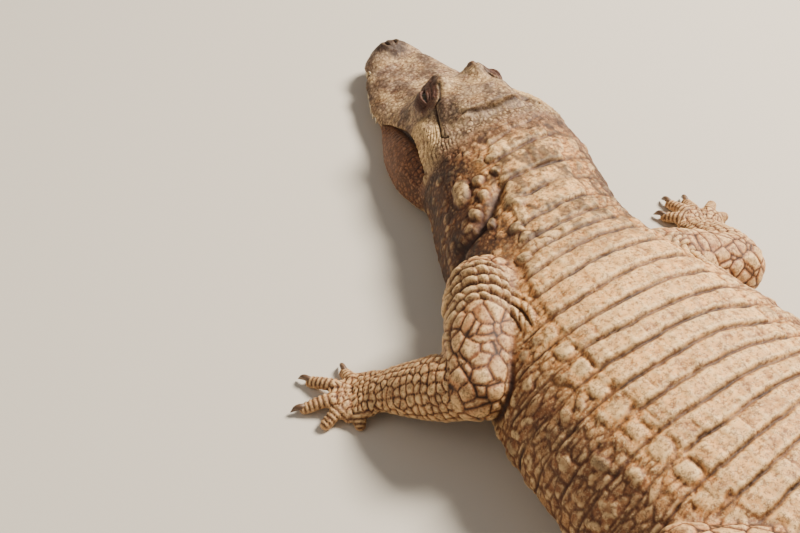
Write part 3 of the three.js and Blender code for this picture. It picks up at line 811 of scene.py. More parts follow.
def flank_skin(place, rows, points):
    """Rows of wrinkled skin with low oval scales here and there, and fine folds that run down the flank."""
    skin = blank(len(points))
    w, edge = np.abs(place.w), shield_edge_at(place.s)[0]
    along = w - edge + 0.5 * FLANK_SPACING * (rows.row % 2) + 8 * noise(points, 38, 21)
    column = np.floor(along / FLANK_SPACING)
    key = (rows.row, column, np.sign(place.w) + 3)
    random, toned = random_of(key, 33), random_of(key, 35)
    dw = (along / FLANK_SPACING - column - 0.5) * FLANK_SPACING + 5 * (random_of(key, 31) - 0.5)
    ds = (rows.through - 0.5) * rows.pitch + 7 * (random - 0.5)
    size = 0.62 + 0.5 * random_of(key, 39)
    away = np.hypot(dw / 11, ds / (0.4 * rows.pitch)) / size + 0.25 * noise(points, 9, 43)
    present = fade(random, 0.3, 0.5)
    dome = fall(away, 0.3, 1.15) * present
    bend = 4 * noise(points, 26, 45)
    lozenge = np.stack([(w + bend) / 26, (rows.through * rows.pitch + 40 * rows.row + bend) / 9, 0 * w], 1)
    seam, _, small = cells(lozenge, 1.0, 37, jitter=0.9, flat=True)
    fine = fall(seam * 9, 0.2, 1.3) * (1 - 0.8 * fade(dome, 0.2, 0.7))
    line = groove(to_line(rows) + 0.24 * bend, 1.8)
    line = line * (0.75 + 0.45 * noise(points, 20, 47))
    skin.high = (1.2 + 1.6 * size) * dome - 0.8 * fine - 2.0 * line
    skin.high += 0.9 * noise(points, 7, 27) + 1.2 * noise(points, 19, 29)
    skin.crease = np.clip(np.maximum(0.55 * fine, 0.95 * line), 0, 1)
    low = fade(w, edge + 55, edge + 110)
    skin.pale = (0.1 + 0.6 * random) * fade(dome, 0.3, 0.95) * (1 - 0.55 * low)
    skin.pale += 0.3 * small * fall(dome, 0.1, 0.5) * (1 - fine)
    skin.dark = 0.6 * dome * fade(toned, 0.7, 0.8)
    skin.tone = np.where(dome > 0.3, toned, 0.4 + 0.6 * small)
    return skin


EDGE_SCUTE = dict(long=12.5, wide=12, high=1.8, keel=1.2, ring=0.35, pale=1.0, tone=0.8, power=3)


def edge_scutes(skin, place, rows):
    """One raised pale keeled scute at each end of every band."""
    edge = shield_edge_at(place.s)[0] + 19
    random = random_of((rows.row, np.sign(place.w) + 3, 0), 41)
    dw = np.abs(place.w) - edge + 6 * (random - 0.5)
    ds = (rows.through - 0.52) * rows.pitch
    strength = fade(place.s, 700, 745) * fall(place.s, 1120, 1180)
    strength = strength * (0.65 + 0.5 * random)
    raise_plate(skin, ds, dw, **EDGE_SCUTE, strength=strength)


TAIL_SCALE = Group(least=15, share=0.11)  # width round the tail, and its growth with the half width


def tail_skin(place, rows, points):
    """Whorls of squarish scales round the tail."""
    skin = blank(len(points))
    w = np.abs(place.w)
    spacing = TAIL_SCALE.least + TAIL_SCALE.share * place.half
    line = groove(to_line(rows), 1.7)
    middle = groove((rows.through - 0.5) * rows.pitch, 1.3) * fade(w, 40, 60)
    column = np.floor(w / spacing + 0.5 * (rows.row % 2))
    across = (w / spacing + 0.5 * (rows.row % 2) - column - 0.5) * spacing
    seam = groove(np.abs(across) - spacing / 2, 1.4)
    key = (rows.row * 2 + (rows.through > 0.5) * (w > 50), column, np.sign(place.w) + 3)
    skin.high = 1.5 - 1.9 * line - 1.0 * seam - 0.8 * middle
    skin.crease = np.clip(line + 0.6 * seam + 0.5 * middle, 0, 1)
    skin.tone = random_of(key, 51)
    skin.pale = 0.3 * random_of(key, 53)
    return skin


def granular_skin(points, size=12.0, seed=61):
    """Beads of uneven size with smaller ones between them, as on the throat and behind the jaw."""
    skin = blank(len(points))
    bent = points + 2 * noise(points, 20, seed + 1)[:, None]
    seam, centre, tone = cells(bent, size, seed, jitter=0.95)
    small_seam, _, small_tone = cells(bent, 0.45 * size, seed + 7, jitter=0.9)
    reach = size * (0.3 + 0.34 * tone)
    bead = np.clip(1 - (centre / reach) ** 2, 0, 1) * fade(seam, 0, 1.2) * fade(tone, 0.15, 0.4)
    grain = fade(small_seam, 0.2, 1.6) * fall(bead, 0.02, 0.3)
    skin.high = 2.2 * bead ** 0.6 * (0.4 + 0.8 * tone) + 0.8 * grain - 1.2
    skin.high += 2.2 * noise(points, 36, seed + 3)
    skin.crease = 0.75 * fall(bead, 0.02, 0.25) * (1 - grain)
    skin.tone = 0.5 * tone * bead + 0.35 * small_tone * grain
    lit = fade(tone, 0.55, 1.0) * fade(noise(points, 22, seed + 9), -0.5, 0.6)
    skin.pale = 0.5 * fade(bead, 0.1, 0.7) * lit
    skin.dark = 0.25 * (1 - bead)
    skin.warm = 0.7 * fade(noise(points, 25, seed + 5), -0.8, 0.2) * (1 - 0.5 * bead)
    return skin


# Raised plates of the nape and the first big ones of the back:
# [station, way round, half length, half width, height, keel, depth of the ring round it, paleness]
NAPE_PLATES = [
    [450, -15, 15, 20, 2.2, 1.5, 0.3, 0.6], [490, 30, 29, 29, 2.6, 2, 0.3, 0.65],
    [515, -45, 17, 19, 4, 6, 0.5, 0.9], [422, -48, 9, 9, 4, 2, 0.6, 0.9],
    [452, -50, 9, 8, 4, 2, 0.6, 0.8], [457, -78, 9, 9, 4, 2, 0.6, 0.9],
    [485, -78, 10, 9, 4, 2, 0.6, 0.9], [460, -105, 23, 14, 5, 2, 0.6, 1.0],
    [508, -100, 10, 9, 4, 2, 0.6, 0.9], [532, -88, 10, 9, 4, 2, 0.6, 1.0],
    [565, -65, 10, 10, 4, 2, 0.6, 1.0], [585, -62, 7, 9, 3, 2, 1, 0.9],
    [596, -35, 7, 15, 3, 2, 1, 0.8], [615, -82, 10, 10, 4, 2, 0.6, 1.0],
]
# The deep fold of the neck in front of the left shoulder, as (s, x).
NECK_FOLD = [[482, -52], [503, -68], [519, -82], [534, -101], [538, -122], [566, -150]]


def path_distance(a, b, points):
    """Distance in a plane from each (a, b) to a line of points."""
    found = np.full(len(a), np.inf)
    for (a0, b0), (a1, b1) in zip(points[:-1], points[1:]):
        run_a, run_b = a1 - a0, b1 - b0
        t = np.clip(((a - a0) * run_a + (b - b0) * run_b) / (run_a ** 2 + run_b ** 2), 0, 1)
        found = np.minimum(found, np.hypot(a - a0 - t * run_a, b - b0 - t * run_b))
    return found


SHOULDER = Group(s=690, x=175, first=40, last=88, pitch=12, bead=14, inner=116, left=216, right=165,
                 end=[688, 716], heights=[55, 80])


def shoulder_folds(skin, points, place):
    """Beaded arcs of loose skin over each shoulder, round the thick of the upper arm."""
    ds, dx = place.s - SHOULDER.s, np.abs(place.x) - SHOULDER.x
    radius = np.hypot(ds, dx) + 3.5 * noise(points, 24, 91)
    strength = fade(radius, SHOULDER.first - 4, SHOULDER.first + 4)
    strength = strength * fall(radius, SHOULDER.last, SHOULDER.last + 12)
    strength = strength * fall(place.s, *SHOULDER.end) * fade(place.z, *SHOULDER.heights)
    outer = np.where(place.x < 0, SHOULDER.left, SHOULDER.right)
    aside = np.abs(place.x)
    strength = strength * fade(aside, SHOULDER.inner - 10, SHOULDER.inner + 10)
    strength = strength * fall(aside, outer - 10, outer + 10)
    arcs = repeats(radius - SHOULDER.first, SHOULDER.pitch)
    way = np.arctan2(dx, -ds) * radius / SHOULDER.bead + 0.37 * arcs.row + 0.35 * noise(points, 18, 93)
    bead = np.abs(np.sin(np.pi * way)) ** 0.6
    line = groove(to_line(arcs), 1.8)
    seam = 0.6 * fall(bead, 0.1, 0.6)
    key = (arcs.row, np.floor(way), np.sign(place.x) + 3)
    size = 0.55 + 0.75 * random_of(key, 97)
    arch = np.sin(np.pi * arcs.through)
    raised = 5.5 * size * arch ** 0.8 * (0.3 + 0.7 * bead) - 2.4 * line - 1.6
    skin.high += strength * (raised - skin.high)
    skin.crease += strength * (np.maximum(line, seam) - skin.crease)
    skin.pale += strength * (0.75 * bead * arch - skin.pale)
    skin.tone += strength * (random_of(key, 95) - skin.tone)


def neck_marks(skin, points, place, rows, shift):
    """Dark blotches of the neck, a painted shadow beside a tubercle on its right, and the net of creases
    between its plates.
    """
    s = place.s
    # darker towards the head, which is the hide's own colour, plus a round painted shadow 467 mm back and 75
    # mm right of the midline, where a tubercle's edge casts one
    dark_and_shadow = fall(s, 395, 440) * 0.85 + 0.5 * groove(np.hypot(s - 467, place.w - 75), 30)
    dark_and_shadow = np.maximum(dark_and_shadow, 0.8 * fall(s, 560, 700))
    blotch = fade(noise(points, 17, 67) + 0.8 * noise(points, 6, 69), -0.15, 0.5)
    skin.dark = np.maximum(skin.dark, dark_and_shadow * blotch)
    seam, _, _ = cells(points + 2 * shift[:, None], 10, 123, jitter=0.95)
    net = fall(seam, 0.2, 1.9) * fall(s, 540, 660) * fade(noise(points, 19, 125), -0.7, 0.1)
    deepen(skin, 0.6 * net)
    band = groove(to_line(rows) + 2.5 * noise(points, 9, 119), 9) * fall(s, 600, 690) * fade(s, 395, 430)
    deepen(skin, 0.7 * band * fade(noise(points, 12, 121), -0.7, 0.5))


def body_skin(points, place):
    """Scales of the neck, trunk and tail."""
    s, w = place.s, np.abs(place.w)
    rows = row_places(place)
    edge = shield_edge_at(s)[0]
    skin = back_skin(place, rows, points)
    skin = blended(skin, flank_skin(place, rows, points), fade(w, edge - 3, edge + 5))
    skin = blended(skin, tail_skin(place, rows, points), fade(s, *BODY_TO_TAIL))
    neck = fall(s, *NECK_TO_PLATES) * 0.8
    loose = np.where(place.w < 0, fade(w, *LOOSE_NECK.left), fade(w, *LOOSE_NECK.right))
    neck = np.maximum(neck, fall(s, *LOOSE_NECK.end) * loose)
    skin = blended(skin, granular_skin(points, 15), neck)
    edge_scutes(skin, place, rows)
    shift = 3.5 * noise(points, 11, 65)
    for station, way, *plate in NAPE_PLATES:
        raise_plate(skin, s - station + shift, place.w - way - shift, *plate)
    fold = groove(path_distance(s, place.x, NECK_FOLD) + 2 * noise(points, 15, 63), 8)
    skin.high -= 8 * fold
    deepen(skin, fold)
    neck_marks(skin, points, place, rows, shift)
    skin.pale = np.clip(skin.pale, 0, 1)
    return skin


# [length along the limb, width round it or None where they aren't in rows, jitter] of the scales
LIMB_SCALES = {
    UPPER: [22, None, 0.8],
    LOWER: [10.5, 14, 0.6],
    PALM: [8, 9.5, 0.5],
}
TOE_RING = 6.0  # length of the rings round a toe
JUNCTION = Group(reach=16, width=4.5, deep=4)  # crease where a leg leaves the body


def limb_polygons(skin, points, limb, here, long, wide, jitter):
    """Raised polygons of one length of the leg."""
    bend = noise(points[here], 30, 71)
    if wide is None:
        seam, _, tone = cells(points[here] + 3 * bend[:, None], long, 71, jitter=jitter)
    else:
        along, across = limb.along[here] + 3 * bend, limb.round[here] + 2 * bend
        grid = np.stack([along / long, across / wide, 0 * along], 1)
        seam, _, tone = cells(grid, 1.0, 71 + limb.kind[here[0]], jitter=jitter, flat=True)
        seam = seam * min(long, wide)
    skin.crease[here] = fall(seam, 0.15, 0.45 + 0.035 * long)
    skin.dark[here] = 0.45 * fade(tone, 0.7, 0.9) * fade(seam, 0.22 * long, 0.4 * long)
    plateau = 0.6 * fade(seam, 0, 0.13 * long) + 0.4 * fade(seam, 0.05 * long, 0.42 * long)
    skin.high[here] = (1.3 + 0.07 * long) * plateau - 1.0 + 0.5 * noise(points[here], 6, 75)
    skin.tone[here] = tone
    skin.pale[here] = fade(seam, 0.05 * long, 0.25 * long) * (0.1 + 0.5 * tone + 0.02 * long)


def limb_skin(points, limb):
    """Polygons on the thick of the leg, smaller ones in rows below, rings on the toes."""
    skin = blank(len(points))
    for kind, sizes in LIMB_SCALES.items():
        here = np.nonzero(limb.kind == kind)[0]
        if len(here):
            limb_polygons(skin, points, limb, here, *sizes)
    toe = limb.kind == DIGIT
    rings = repeats(limb.along, TOE_RING)
    line = groove(to_line(rings), 1.1) * fade(limb.up, -0.4, 0.2)
    skin.high = np.where(toe, 0.9 * np.sin(np.pi * rings.through) - 0.9 * line, skin.high)
    skin.crease = np.where(toe, 0.8 * line, skin.crease)
    skin.pale = np.where(toe, 0.3, skin.pale)
    return skin


def junction_crease(skin, place, limb):
    """A fold where a leg's skin meets the body's, painted dark as the shadow between leg and body."""
    near = groove(np.maximum(limb.gap, place.outside), JUNCTION.reach)
    fold = near * groove(limb.gap - place.outside, JUNCTION.width) * fade(place.s, 420, 460)
    fold = fold * fall(place.z, 120, 150)
    skin.high -= JUNCTION.deep * fold
    # painted shadow in the fold, and no pale scales in it
    deepen(skin, fold)
    skin.pale = skin.pale * (1 - fold)


EAR = [[270, -50], [292, -57], [322, -70]]
SKULL_REAR = [[310, 71], [320, 39], [324, 5], [320, -29], [312, -44]]
LIP_SCALE = 10.5  # length of the scales along the lips
NOSTRIL = Group(s=24, x=8, long=7, wide=2.4, deep=6)


def head_zones(place):
    """Where a point lies on the head, and how far it belongs to each zone."""
    s, x, z = place.s, place.x, place.z
    half, _, lip, _ = upper_head_at(s)
    above = fade(z, lip - 2, lip + 3)
    return Group(
        s=s, x=x, z=z, aside=np.abs(x), half=half, over_lip=z - lip, above=above,
        mouth=fall(s, *MOUTH_END), throat=(1 - above) * fade(s, *THROAT_START),
        cheek=above * fade(s, *CHEEK.start) * fade(np.abs(x), *CHEEK.aside),
        behind=above * fade(s, *SKULL_END),
    )


def head_hide(points, head):
    """Fine hide on the snout and the skull, and small scales on the cheek, the throat and the nape."""
    skin = blank(len(points))
    seam, _, tone = cells(points, 6.5, 81, jitter=0.9)
    scaly = np.clip(0.6 * head.cheek + head.throat + head.behind, 0, 1)
    skin.crease = fall(seam, 0.2, 1.3) * (0.5 + 0.2 * scaly) * (1 - 0.75 * head.cheek)
    skin.high = (0.45 + 0.7 * scaly) * fade(seam, 0, 2.0) + 0.7 * noise(points, 8, 83) * head.above
    skin.high += 1.3 * noise(points, 21, 85) * head.above * (1 - head.cheek)
    skin.tone = tone * (1 - 0.7 * head.throat)
    # a pale cheek patch, the hide's own, painted paler still as painted light against the shadow of the
    # brow; its creases and dark marks are weakened too
    pale_and_lit_cheek = 1.3 * head.cheek * fade(noise(points, 30, 87), -0.9, 0)
    skin.pale = np.maximum(0.42 + 0.45 * noise(points, 14, 87), pale_and_lit_cheek) * head.above
    return skin


def cheek_wrinkles(skin, points, head):
    """Wrinkles that fan out below the eye."""
    fan = np.arctan2(head.s - 240, head.aside - 40) * 22 + noise(points, 16, 89)
    wrinkle = np.abs(fan - np.round(fan)) * 2
    wrinkle = fall(wrinkle, 0.1, 0.5) * head.cheek
    skin.high -= 0.8 * wrinkle
    deepen(skin, 0.45 * wrinkle)


def mouth_line(skin, head):
    """The line of the mouth, and the notched lips on either side of it."""
    line = groove(head.over_lip, 2.1) * head.mouth
    lips = groove(np.abs(head.over_lip) - 6, 5) * head.mouth * (1 - line)
    notch = groove(to_line(repeats(head.s, LIP_SCALE)), 1.1) * lips * (head.aside > 0.6 * head.half)
    skin.high += 1.5 * lips - 4.2 * line - 0.8 * notch
    skin.crease = np.clip(np.maximum(skin.crease, line) + 0.4 * notch, 0, 1)


def nostrils(skin, head):
    """A curved slit on each side of the snout's tip, with a raised rim outside it."""
    n = NOSTRIL
    bend = head.aside - n.x + 0.03 * (head.s - n.s) ** 2
    slit = groove(bend, n.wide) * groove(head.s - n.s, n.long) * head.above
    rim = groove(bend - 4.5, 3.5) * groove(head.s - n.s, n.long + 3) * head.above
    skin.high += 1.8 * rim - n.deep * slit
    deepen(skin, slit)


def skull_creases(skin, head):
    """The ear flaps with the slots under them, and the crease behind the skull table."""
    ear = np.where((head.above > 0.5) & (head.z > 95), path_distance(head.s, -head.aside, EAR), 99)
    slot_line = groove(ear - 7.5, 1.6) * (-head.aside < -50 - 0.35 * (head.s - 270))
    skin.high += 3.0 * groove(ear, 6) - 2.8 * slot_line
    deepen(skin, slot_line)
    rear = groove(path_distance(head.s, head.x, SKULL_REAR) * head.above + 99 * (head.above < 0.5), 4)
    skin.high -= 3.4 * rear
    deepen(skin, 0.85 * rear)
    return ear


def head_skin(points, place):
    """Lips, nostrils, ear flaps and the hide between them."""
    head = head_zones(place)
    above = head.above
    skin = head_hide(points, head)
    cheek_wrinkles(skin, points, head)
    mouth_line(skin, head)
    nostrils(skin, head)
    ear = skull_creases(skin, head)
    brow = groove((head.s - 216) / 1.8, 11) * groove(head.aside - 38, 9) * above
    skin.high += 3.5 * brow * noise(points, 7, 99)
    nose = fall(np.hypot((head.s - 24) / 1.5, head.x / 1.5) + 3 * noise(points, 9, 107), 13, 21) * above
    cloud = fade(noise(points, 24, 105) + 0.7 * noise(points, 8, 109), -0.2, 0.7)
    dark = 0.9 * nose + 0.7 * groove(ear, 7) + 0.5 * brow * (head.x > 0) + 0.35 * head.behind
    skin.dark = np.maximum(np.clip(dark, 0, 1), 0.6 * cloud * above * (1 - head.cheek))
    lip = groove(head.over_lip - 6, 14) * head.mouth * fade(head.s, 60, 110)
    skin.warm = np.clip((1 - above) * 0.9 + 0.6 * lip, 0, 1)
    skin.pale = skin.pale * (1 - skin.dark)
    return skin


# Lids: the slit's direction, their thickness, where the slit runs round the eyeball in degrees, how far it
# opens, the pitch of the wrinkles, how deep the skin lies in the opening, how far the lids' skin reaches,
# the groove that parts the lids from the brow, and the orbit round them.
LIDS = Group(along=0.93, across=0.37, thick=2.4, slit=24, open=2.7, half=16, bow=0.016, ripple=3.4,
             bared=2.5, reach=75, groove=-30, groove_half=22, groove_middle=12, long=41, wide=21, shift=6)


def eye_centre(side):
    return body_points(EYE.s, side * EYE.x, EYE.z)


def eye_places(points, side):
    """The points near an eye, from its centre: how far, along and across the slit, up, and round."""
    centre = eye_centre(side)
    _, outwards, back = spine_frame(np.array(float(EYE.s)))
    along = np.append(LIDS.along * back + LIDS.across * side * outwards, 0)
    across = np.append(LIDS.along * side * outwards - LIDS.across * back, 0)
    here = np.nonzero((np.abs(points - centre) < LIDS.reach).all(1))[0]
    offset = points[here] - centre
    b, up = offset @ across, offset[:, 2]
    return Group(here=here, points=points[here], centre=centre, offset=offset, a=offset @ along, b=b, up=up,
                 far=np.linalg.norm(offset, axis=1), turn=np.arctan2(b, up) * EYE.radius)


def lid_slit(eye):
    """How far out the wrinkled lids lie, the opening between them, and the wrinkles."""
    slit = eye.turn - math.radians(LIDS.slit) * EYE.radius + LIDS.bow * eye.a ** 2
    ajar = LIDS.open * fall(np.abs(eye.a) / LIDS.half, 0.2, 1.0)
    within = fall(np.abs(eye.a), LIDS.half - 2, LIDS.half + 3)
    cover = fall(eye.far, EYE.radius + 8, EYE.radius + 26)
    shell = EYE.radius + LIDS.thick
    ring = np.abs(slit) - ajar
    wrinkle = np.sin((ring + 0.6 * noise(eye.points, 7, 101)) * 2 * math.pi / LIDS.ripple)
    wrinkle = wrinkle * fade(ring, 2, 5) * fall(ring, 15, 24)
    wanted = np.maximum(eye.far, shell) + 1.2 * groove(ring - 2, 1.6) * within + 0.6 * wrinkle * cover
    opening = fall(ring, -0.6, 0.4) * fade(ajar, 0.2, 0.8) * (eye.far < shell + 8)
    wanted = wanted * (1 - opening) + (EYE.radius - LIDS.bared) * opening
    return np.where(eye.up > -8, wanted, eye.far), opening, wrinkle


def lid_parting(eye):
    """The groove that parts the lids from the brow."""
    ahead = eye.a - LIDS.groove_middle
    parting = eye.turn - math.radians(LIDS.groove) * EYE.radius - 0.006 * ahead ** 2
    parting = groove(parting, 1.2) * fall(np.abs(ahead), LIDS.groove_half - 6, LIDS.groove_half)
    return parting * (eye.up > 0)


def orbit(eye):
    """The rim and the crown of the orbit, and the lid inside them."""
    plan = np.hypot((eye.a + LIDS.shift) / LIDS.long, (eye.b - 1) / LIDS.wide)
    edge = (plan - 1) * LIDS.wide
    facing = (eye.up > -14) * fade(eye.b, -14, 4)
    lid = fall(edge + 4 * noise(eye.points, 8, 115), -10, 1)
    lid = lid * fade(eye.up, -20, -12) * fade(eye.b, -16, -8)
    return groove(edge, 2.4) * facing, groove(edge - 5, 3) * facing, lid


def close_lids(points, skin, side):
    """Wraps the skin over an eyeball, leaves a slit over it, and wrinkles the lids."""
    eye = eye_places(points, side)
    here = eye.here
    wanted, opening, wrinkle = lid_slit(eye)
    parting = lid_parting(eye)
    rim, crown, lid = orbit(eye)
    folds = groove(np.hypot(eye.a + 34, eye.b + 4), 14) * (eye.up > -10)
    wanted -= 2.5 * parting
    wanted += 1.8 * crown - 1.8 * rim
    wanted += 2.2 * folds * noise(eye.points, 5.5, 103) + 0.6 * lid * noise(eye.points, 9, 113)
    points[here] = eye.centre + eye.offset * (wanted / np.maximum(eye.far, 1e-6))[:, None]
    skin.lid[here] = np.maximum(lid, 0.8 * folds)
    skin.dark[here] *= 1 - skin.lid[here]
    marks = np.maximum(np.maximum(opening, 0.7 * rim), parting)
    marks = np.maximum(marks, 0.55 * lid * fade(-wrinkle, 0.1, 0.6))
    marks = np.maximum(marks, 0.5 * lid * fade(noise(points[here], 6, 111), 0.0, 0.5))
    skin.crease[here] = np.maximum(skin.crease[here] * (1 - 0.7 * lid), marks)
    skin.pale[here] = np.maximum(skin.pale[here] * (1 - lid), 0.5 * crown)
    patch = groove((eye.a - 4) / 1.8, 8) * groove(eye.b + 28, 8)
    skin.pale[here] = np.maximum(skin.pale[here], patch)
    skin.dark[here] *= 1 - patch


# ---------- the skin ----------


def crest_scute(s, x, height):
    """One standing scute of the tail, leaning back, as a stack of rounded rings."""
    half_base = CREST.half * TAIL_PITCH
    half, top, _, _, exponent = body_section(s)
    drop = 1 - (1 - np.clip(np.abs(x) / half, 0, 0.95) ** exponent) ** (1 / exponent)
    foot = top * (1 - 0.64 * drop) - CREST.root
    angle = circle(28)
    rings = []
    for t in np.linspace(0, 1, 9):
        long = half_base * (1 - 0.72 * t ** 1.3)
        thick = CREST.thick * (1.15 - 0.85 * t)
        along = s + half_base * CREST.lean * t + long * np.cos(angle)
        across = x * (1 + 0.06 * t) + thick * np.sin(angle)
        rings.append(body_points(along, across, foot + (height + CREST.root) * t + 0 * angle))
    return loft(rings)


crest_height_at = station_table([[1215, 9], [1400, 17], [1700, 26], [1860, 34], [2150, 30], [2425, 12]])


def crest():
    parts = []
    for s in np.arange(CREST.start, CREST.end, TAIL_PITCH):
        offset = CREST.spread * float(np.clip((CREST.merge - s) / (CREST.merge - CREST.start), 0, 1))
        height = float(crest_height_at(s)[0])
        places = (-offset, offset) if offset > CREST.thick else (0.0,)
        parts += [crest_scute(float(s), x, height) for x in places]
    return parts


def set_float(mesh, name, values):
    mesh.attributes.new(name, "FLOAT", "POINT").data.foreach_set("value", values.astype(np.float32))


def chosen_of(group, here):
    """The chosen values of every row of numbers in a group."""
    return Group(**{key: values[here] for key, values in vars(group).items()})


def dressed(points):
    """Places, relief and masks of every vertex, and how far it belongs to the head and to a limb."""
    place, limb, skin = body_places(points), limb_places(points), blank(len(points))
    on_head = fall(place.s, *HEAD_TO_NECK)
    on_limb = fade(place.outside - limb.gap, -9, 9) * (on_head < 0.5)
    coats = ((1 - on_head, body_skin, place), (on_head, head_skin, place), (on_limb, limb_skin, limb))
    for share, dress, where in coats:
        here = np.nonzero(share > 0)[0]
        own = dress(points[here], chosen_of(where, here))
        for key, values in vars(skin).items():
            values[here] = values[here] * (1 - share[here]) + getattr(own, key) * share[here]
    shoulder_folds(skin, points, place)
    junction_crease(skin, place, limb)
    return place, limb, skin, on_head, on_limb


# Patches of the map that the colours are baked to: left edge, middle height and scale per mm of each.
BAKE_PATCHES = dict(
    trunk=[0.01, 0.69, 0.00053], tail=[0.505, 0.865, 0.0004], crest=[0.505, 0.715, 0.0004],
    head=[0.505, 0.545, 0.0008], jaw=[0.80, 0.5, 0.00053],
)
BAKE_LEG = Group(first=[0.01, 0.28], step=0.247, scale=0.00048)
BAKE_TOE = Group(first=[0.01, 0.15], step=[0.05, -0.055], scale=0.0006, start=30)
BAKE_WRAP = 0.05  # a face whose corners lie further apart than this runs over the seam below


def leg_patch(index):
    """Left edge, middle height, scale and start of a leg's patch, or of one of its toes'."""
    leg, toe = divmod(index, 10)
    if toe == 0:
        return BAKE_LEG.first[0] + BAKE_LEG.step * leg, BAKE_LEG.first[1], BAKE_LEG.scale, 0
    left = BAKE_TOE.first[0] + BAKE_TOE.step[0] * (5 * (leg % 2) + toe - 1)
    return left, BAKE_TOE.first[1] + BAKE_TOE.step[1] * (leg // 2), BAKE_TOE.scale, BAKE_TOE.start


def bake_places(place, limb, on_limb):
    """Patch and place on the bake map of every vertex, and the height of the middle of its patch."""
    s, x, z = place.s, place.x, place.z
    lip = upper_head_at(np.minimum(s, NECK_START))[2]
    ahead = s < NECK_START
    fin = (place.outside > 4) & (np.abs(x) < 2 * CREST.thick) & (s > CREST.start - 10)
    side = np.sign(x + 1e-9)
    patch, u, v, middle = np.zeros(len(s), int), np.zeros(len(s)), np.zeros(len(s)), np.zeros(len(s))

    def lay(number, chosen, left, height, scale, along, across):
        patch[chosen], middle[chosen] = number, height
        u[chosen], v[chosen] = (left + scale * along)[chosen], (height + scale * across)[chosen]

    for number, (name, chosen, along, across) in enumerate([
        ("trunk", ~ahead & (s < CREST.start), s - NECK_START, place.w),
        ("tail", ~ahead & (s >= CREST.start), s - CREST.start, place.w),
        ("crest", fin, s - CREST.start, side * (z - 60)),
        ("head", ahead & (z > lip), s, side * (np.abs(x) + 0.5 * (170 - z))),
        ("jaw", ahead & (z <= lip), s, side * (np.abs(x) + 0.5 * z)),
    ]):
        lay(number, chosen, *BAKE_PATCHES[name], along, across)
    for index in np.unique(limb.patch):
        left, height, scale, start = leg_patch(index)
        chosen = (limb.patch == index) & (on_limb > 0.5)
        lay(100 + index, chosen, left, height, scale, limb.along - start, limb.round)
    return patch, u, v, middle


def write_bake_map(mesh, patch, u, v, middle):
    """Each face lies in its first corner's patch, and on that corner's side of the seam below."""
    loops, starts = read_corners(mesh)
    first = np.repeat(loops[starts], read(mesh.polygons, "loop_total", 1, np.int32))
    own = patch[loops] == patch[first]
    across, along = np.where(own, v[loops], v[first]), np.where(own, u[loops], u[first])
    wrapped = np.abs(across - v[first]) > BAKE_WRAP
    across = np.where(wrapped, 2 * middle[first] - across, across)
    layer = mesh.uv_layers.new(name="OFBake")
    layer.uv.foreach_set("vector", np.clip(np.stack([along, across], 1), 0, 1).astype(np.float32).ravel())


def soften_joints(points, edges):
    """Rounds the skin where the legs leave the body, and a little all over."""
    place, limb = body_places(points), limb_places(points)
    joint = groove(np.maximum(place.outside, 0) - np.maximum(limb.gap, 0), SOFTENED.width)
    joint = joint * (place.s > NECK_START) * fall(np.minimum(place.outside, limb.gap), 10, 20)
    softer = spread(points, edges, SOFTENED.passes)
    points = points * (1 - joint[:, None]) + softer * joint[:, None]
    return (1 - SOFTENED.share) * points + SOFTENED.share * spread(points, edges, 2)


def write_masks(mesh, points, place, normals, on_limb):
    """The masks that tell the material where a point is."""
    beyond = np.abs(place.w) - shield_edge_at(place.s)[0]
    set_float(mesh, "head", fall(place.s + 14 * noise(points, 25, 117), *HEAD_COLOUR_END))
    set_float(mesh, "limb", on_limb)
    set_float(mesh, "back", fall(beyond, *BACK_COLOUR_EDGE) * (1 - on_limb))
    set_float(mesh, "under", fall(normals[:, 2], *BELLY_FACING))
    set_float(mesh, "tail", fade(place.s, *TAIL_COLOUR_START))


def make_skin():
    made = mesh_object("skin", *joined([flesh(), *crest()]))
    remeshed(made, VOXEL)
    mesh = made.data
    refine(made, body_places(read_points(mesh)).s < NECK_START + HEAD_MARGIN)
    edges = read_edges(mesh)
    points = soften_joints(read_points(mesh), edges)
    write_points(mesh, points)
    place, limb, skin, on_head, on_limb = dressed(points)
    normals = spread(read(mesh.vertices, "normal", 3).astype(float), edges, 3)
    normals /= np.linalg.norm(normals, axis=1)[:, None] + 1e-9
    off_floor = fade(points[:, 2], 0.5, 9)
    lift = (skin.high - COAT_DEPTH * (1 - on_head * (1 - HEAD_COAT))) * off_floor
    moved = points + normals * lift[:, None]
    for side in (-1, 1):
        close_lids(moved, skin, side)
    moved[:, 2] = np.maximum(moved[:, 2], 0)
    write_points(mesh, moved)
    # How far each point lies below its neighbours: the hollows get painted shadow and reddish dust, the
    # ridges a painted highlight
    hollow = spread(skin.high, edges, 5) - skin.high
    skin.hollow = fade(hollow, 0.05, 0.9)
    skin.ridge = fade(-hollow, 0.05, 0.7)
    for key, values in vars(skin).items():
        if key != "high":
            set_float(mesh, key, np.clip(values, 0, 1))
    write_masks(mesh, points, place, normals, on_limb)
    write_bake_map(mesh, *bake_places(place, limb, on_limb))
    return made


# ---------- materials ----------


def linear(red, green, blue):
    """A colour from its 0 to 255 display values."""
    values = [channel / 255 for channel in (red, green, blue)]
    return [v / 12.92 if v <= 0.04045 else ((v + 0.055) / 1.055) ** 2.4 for v in values] + [1.0]


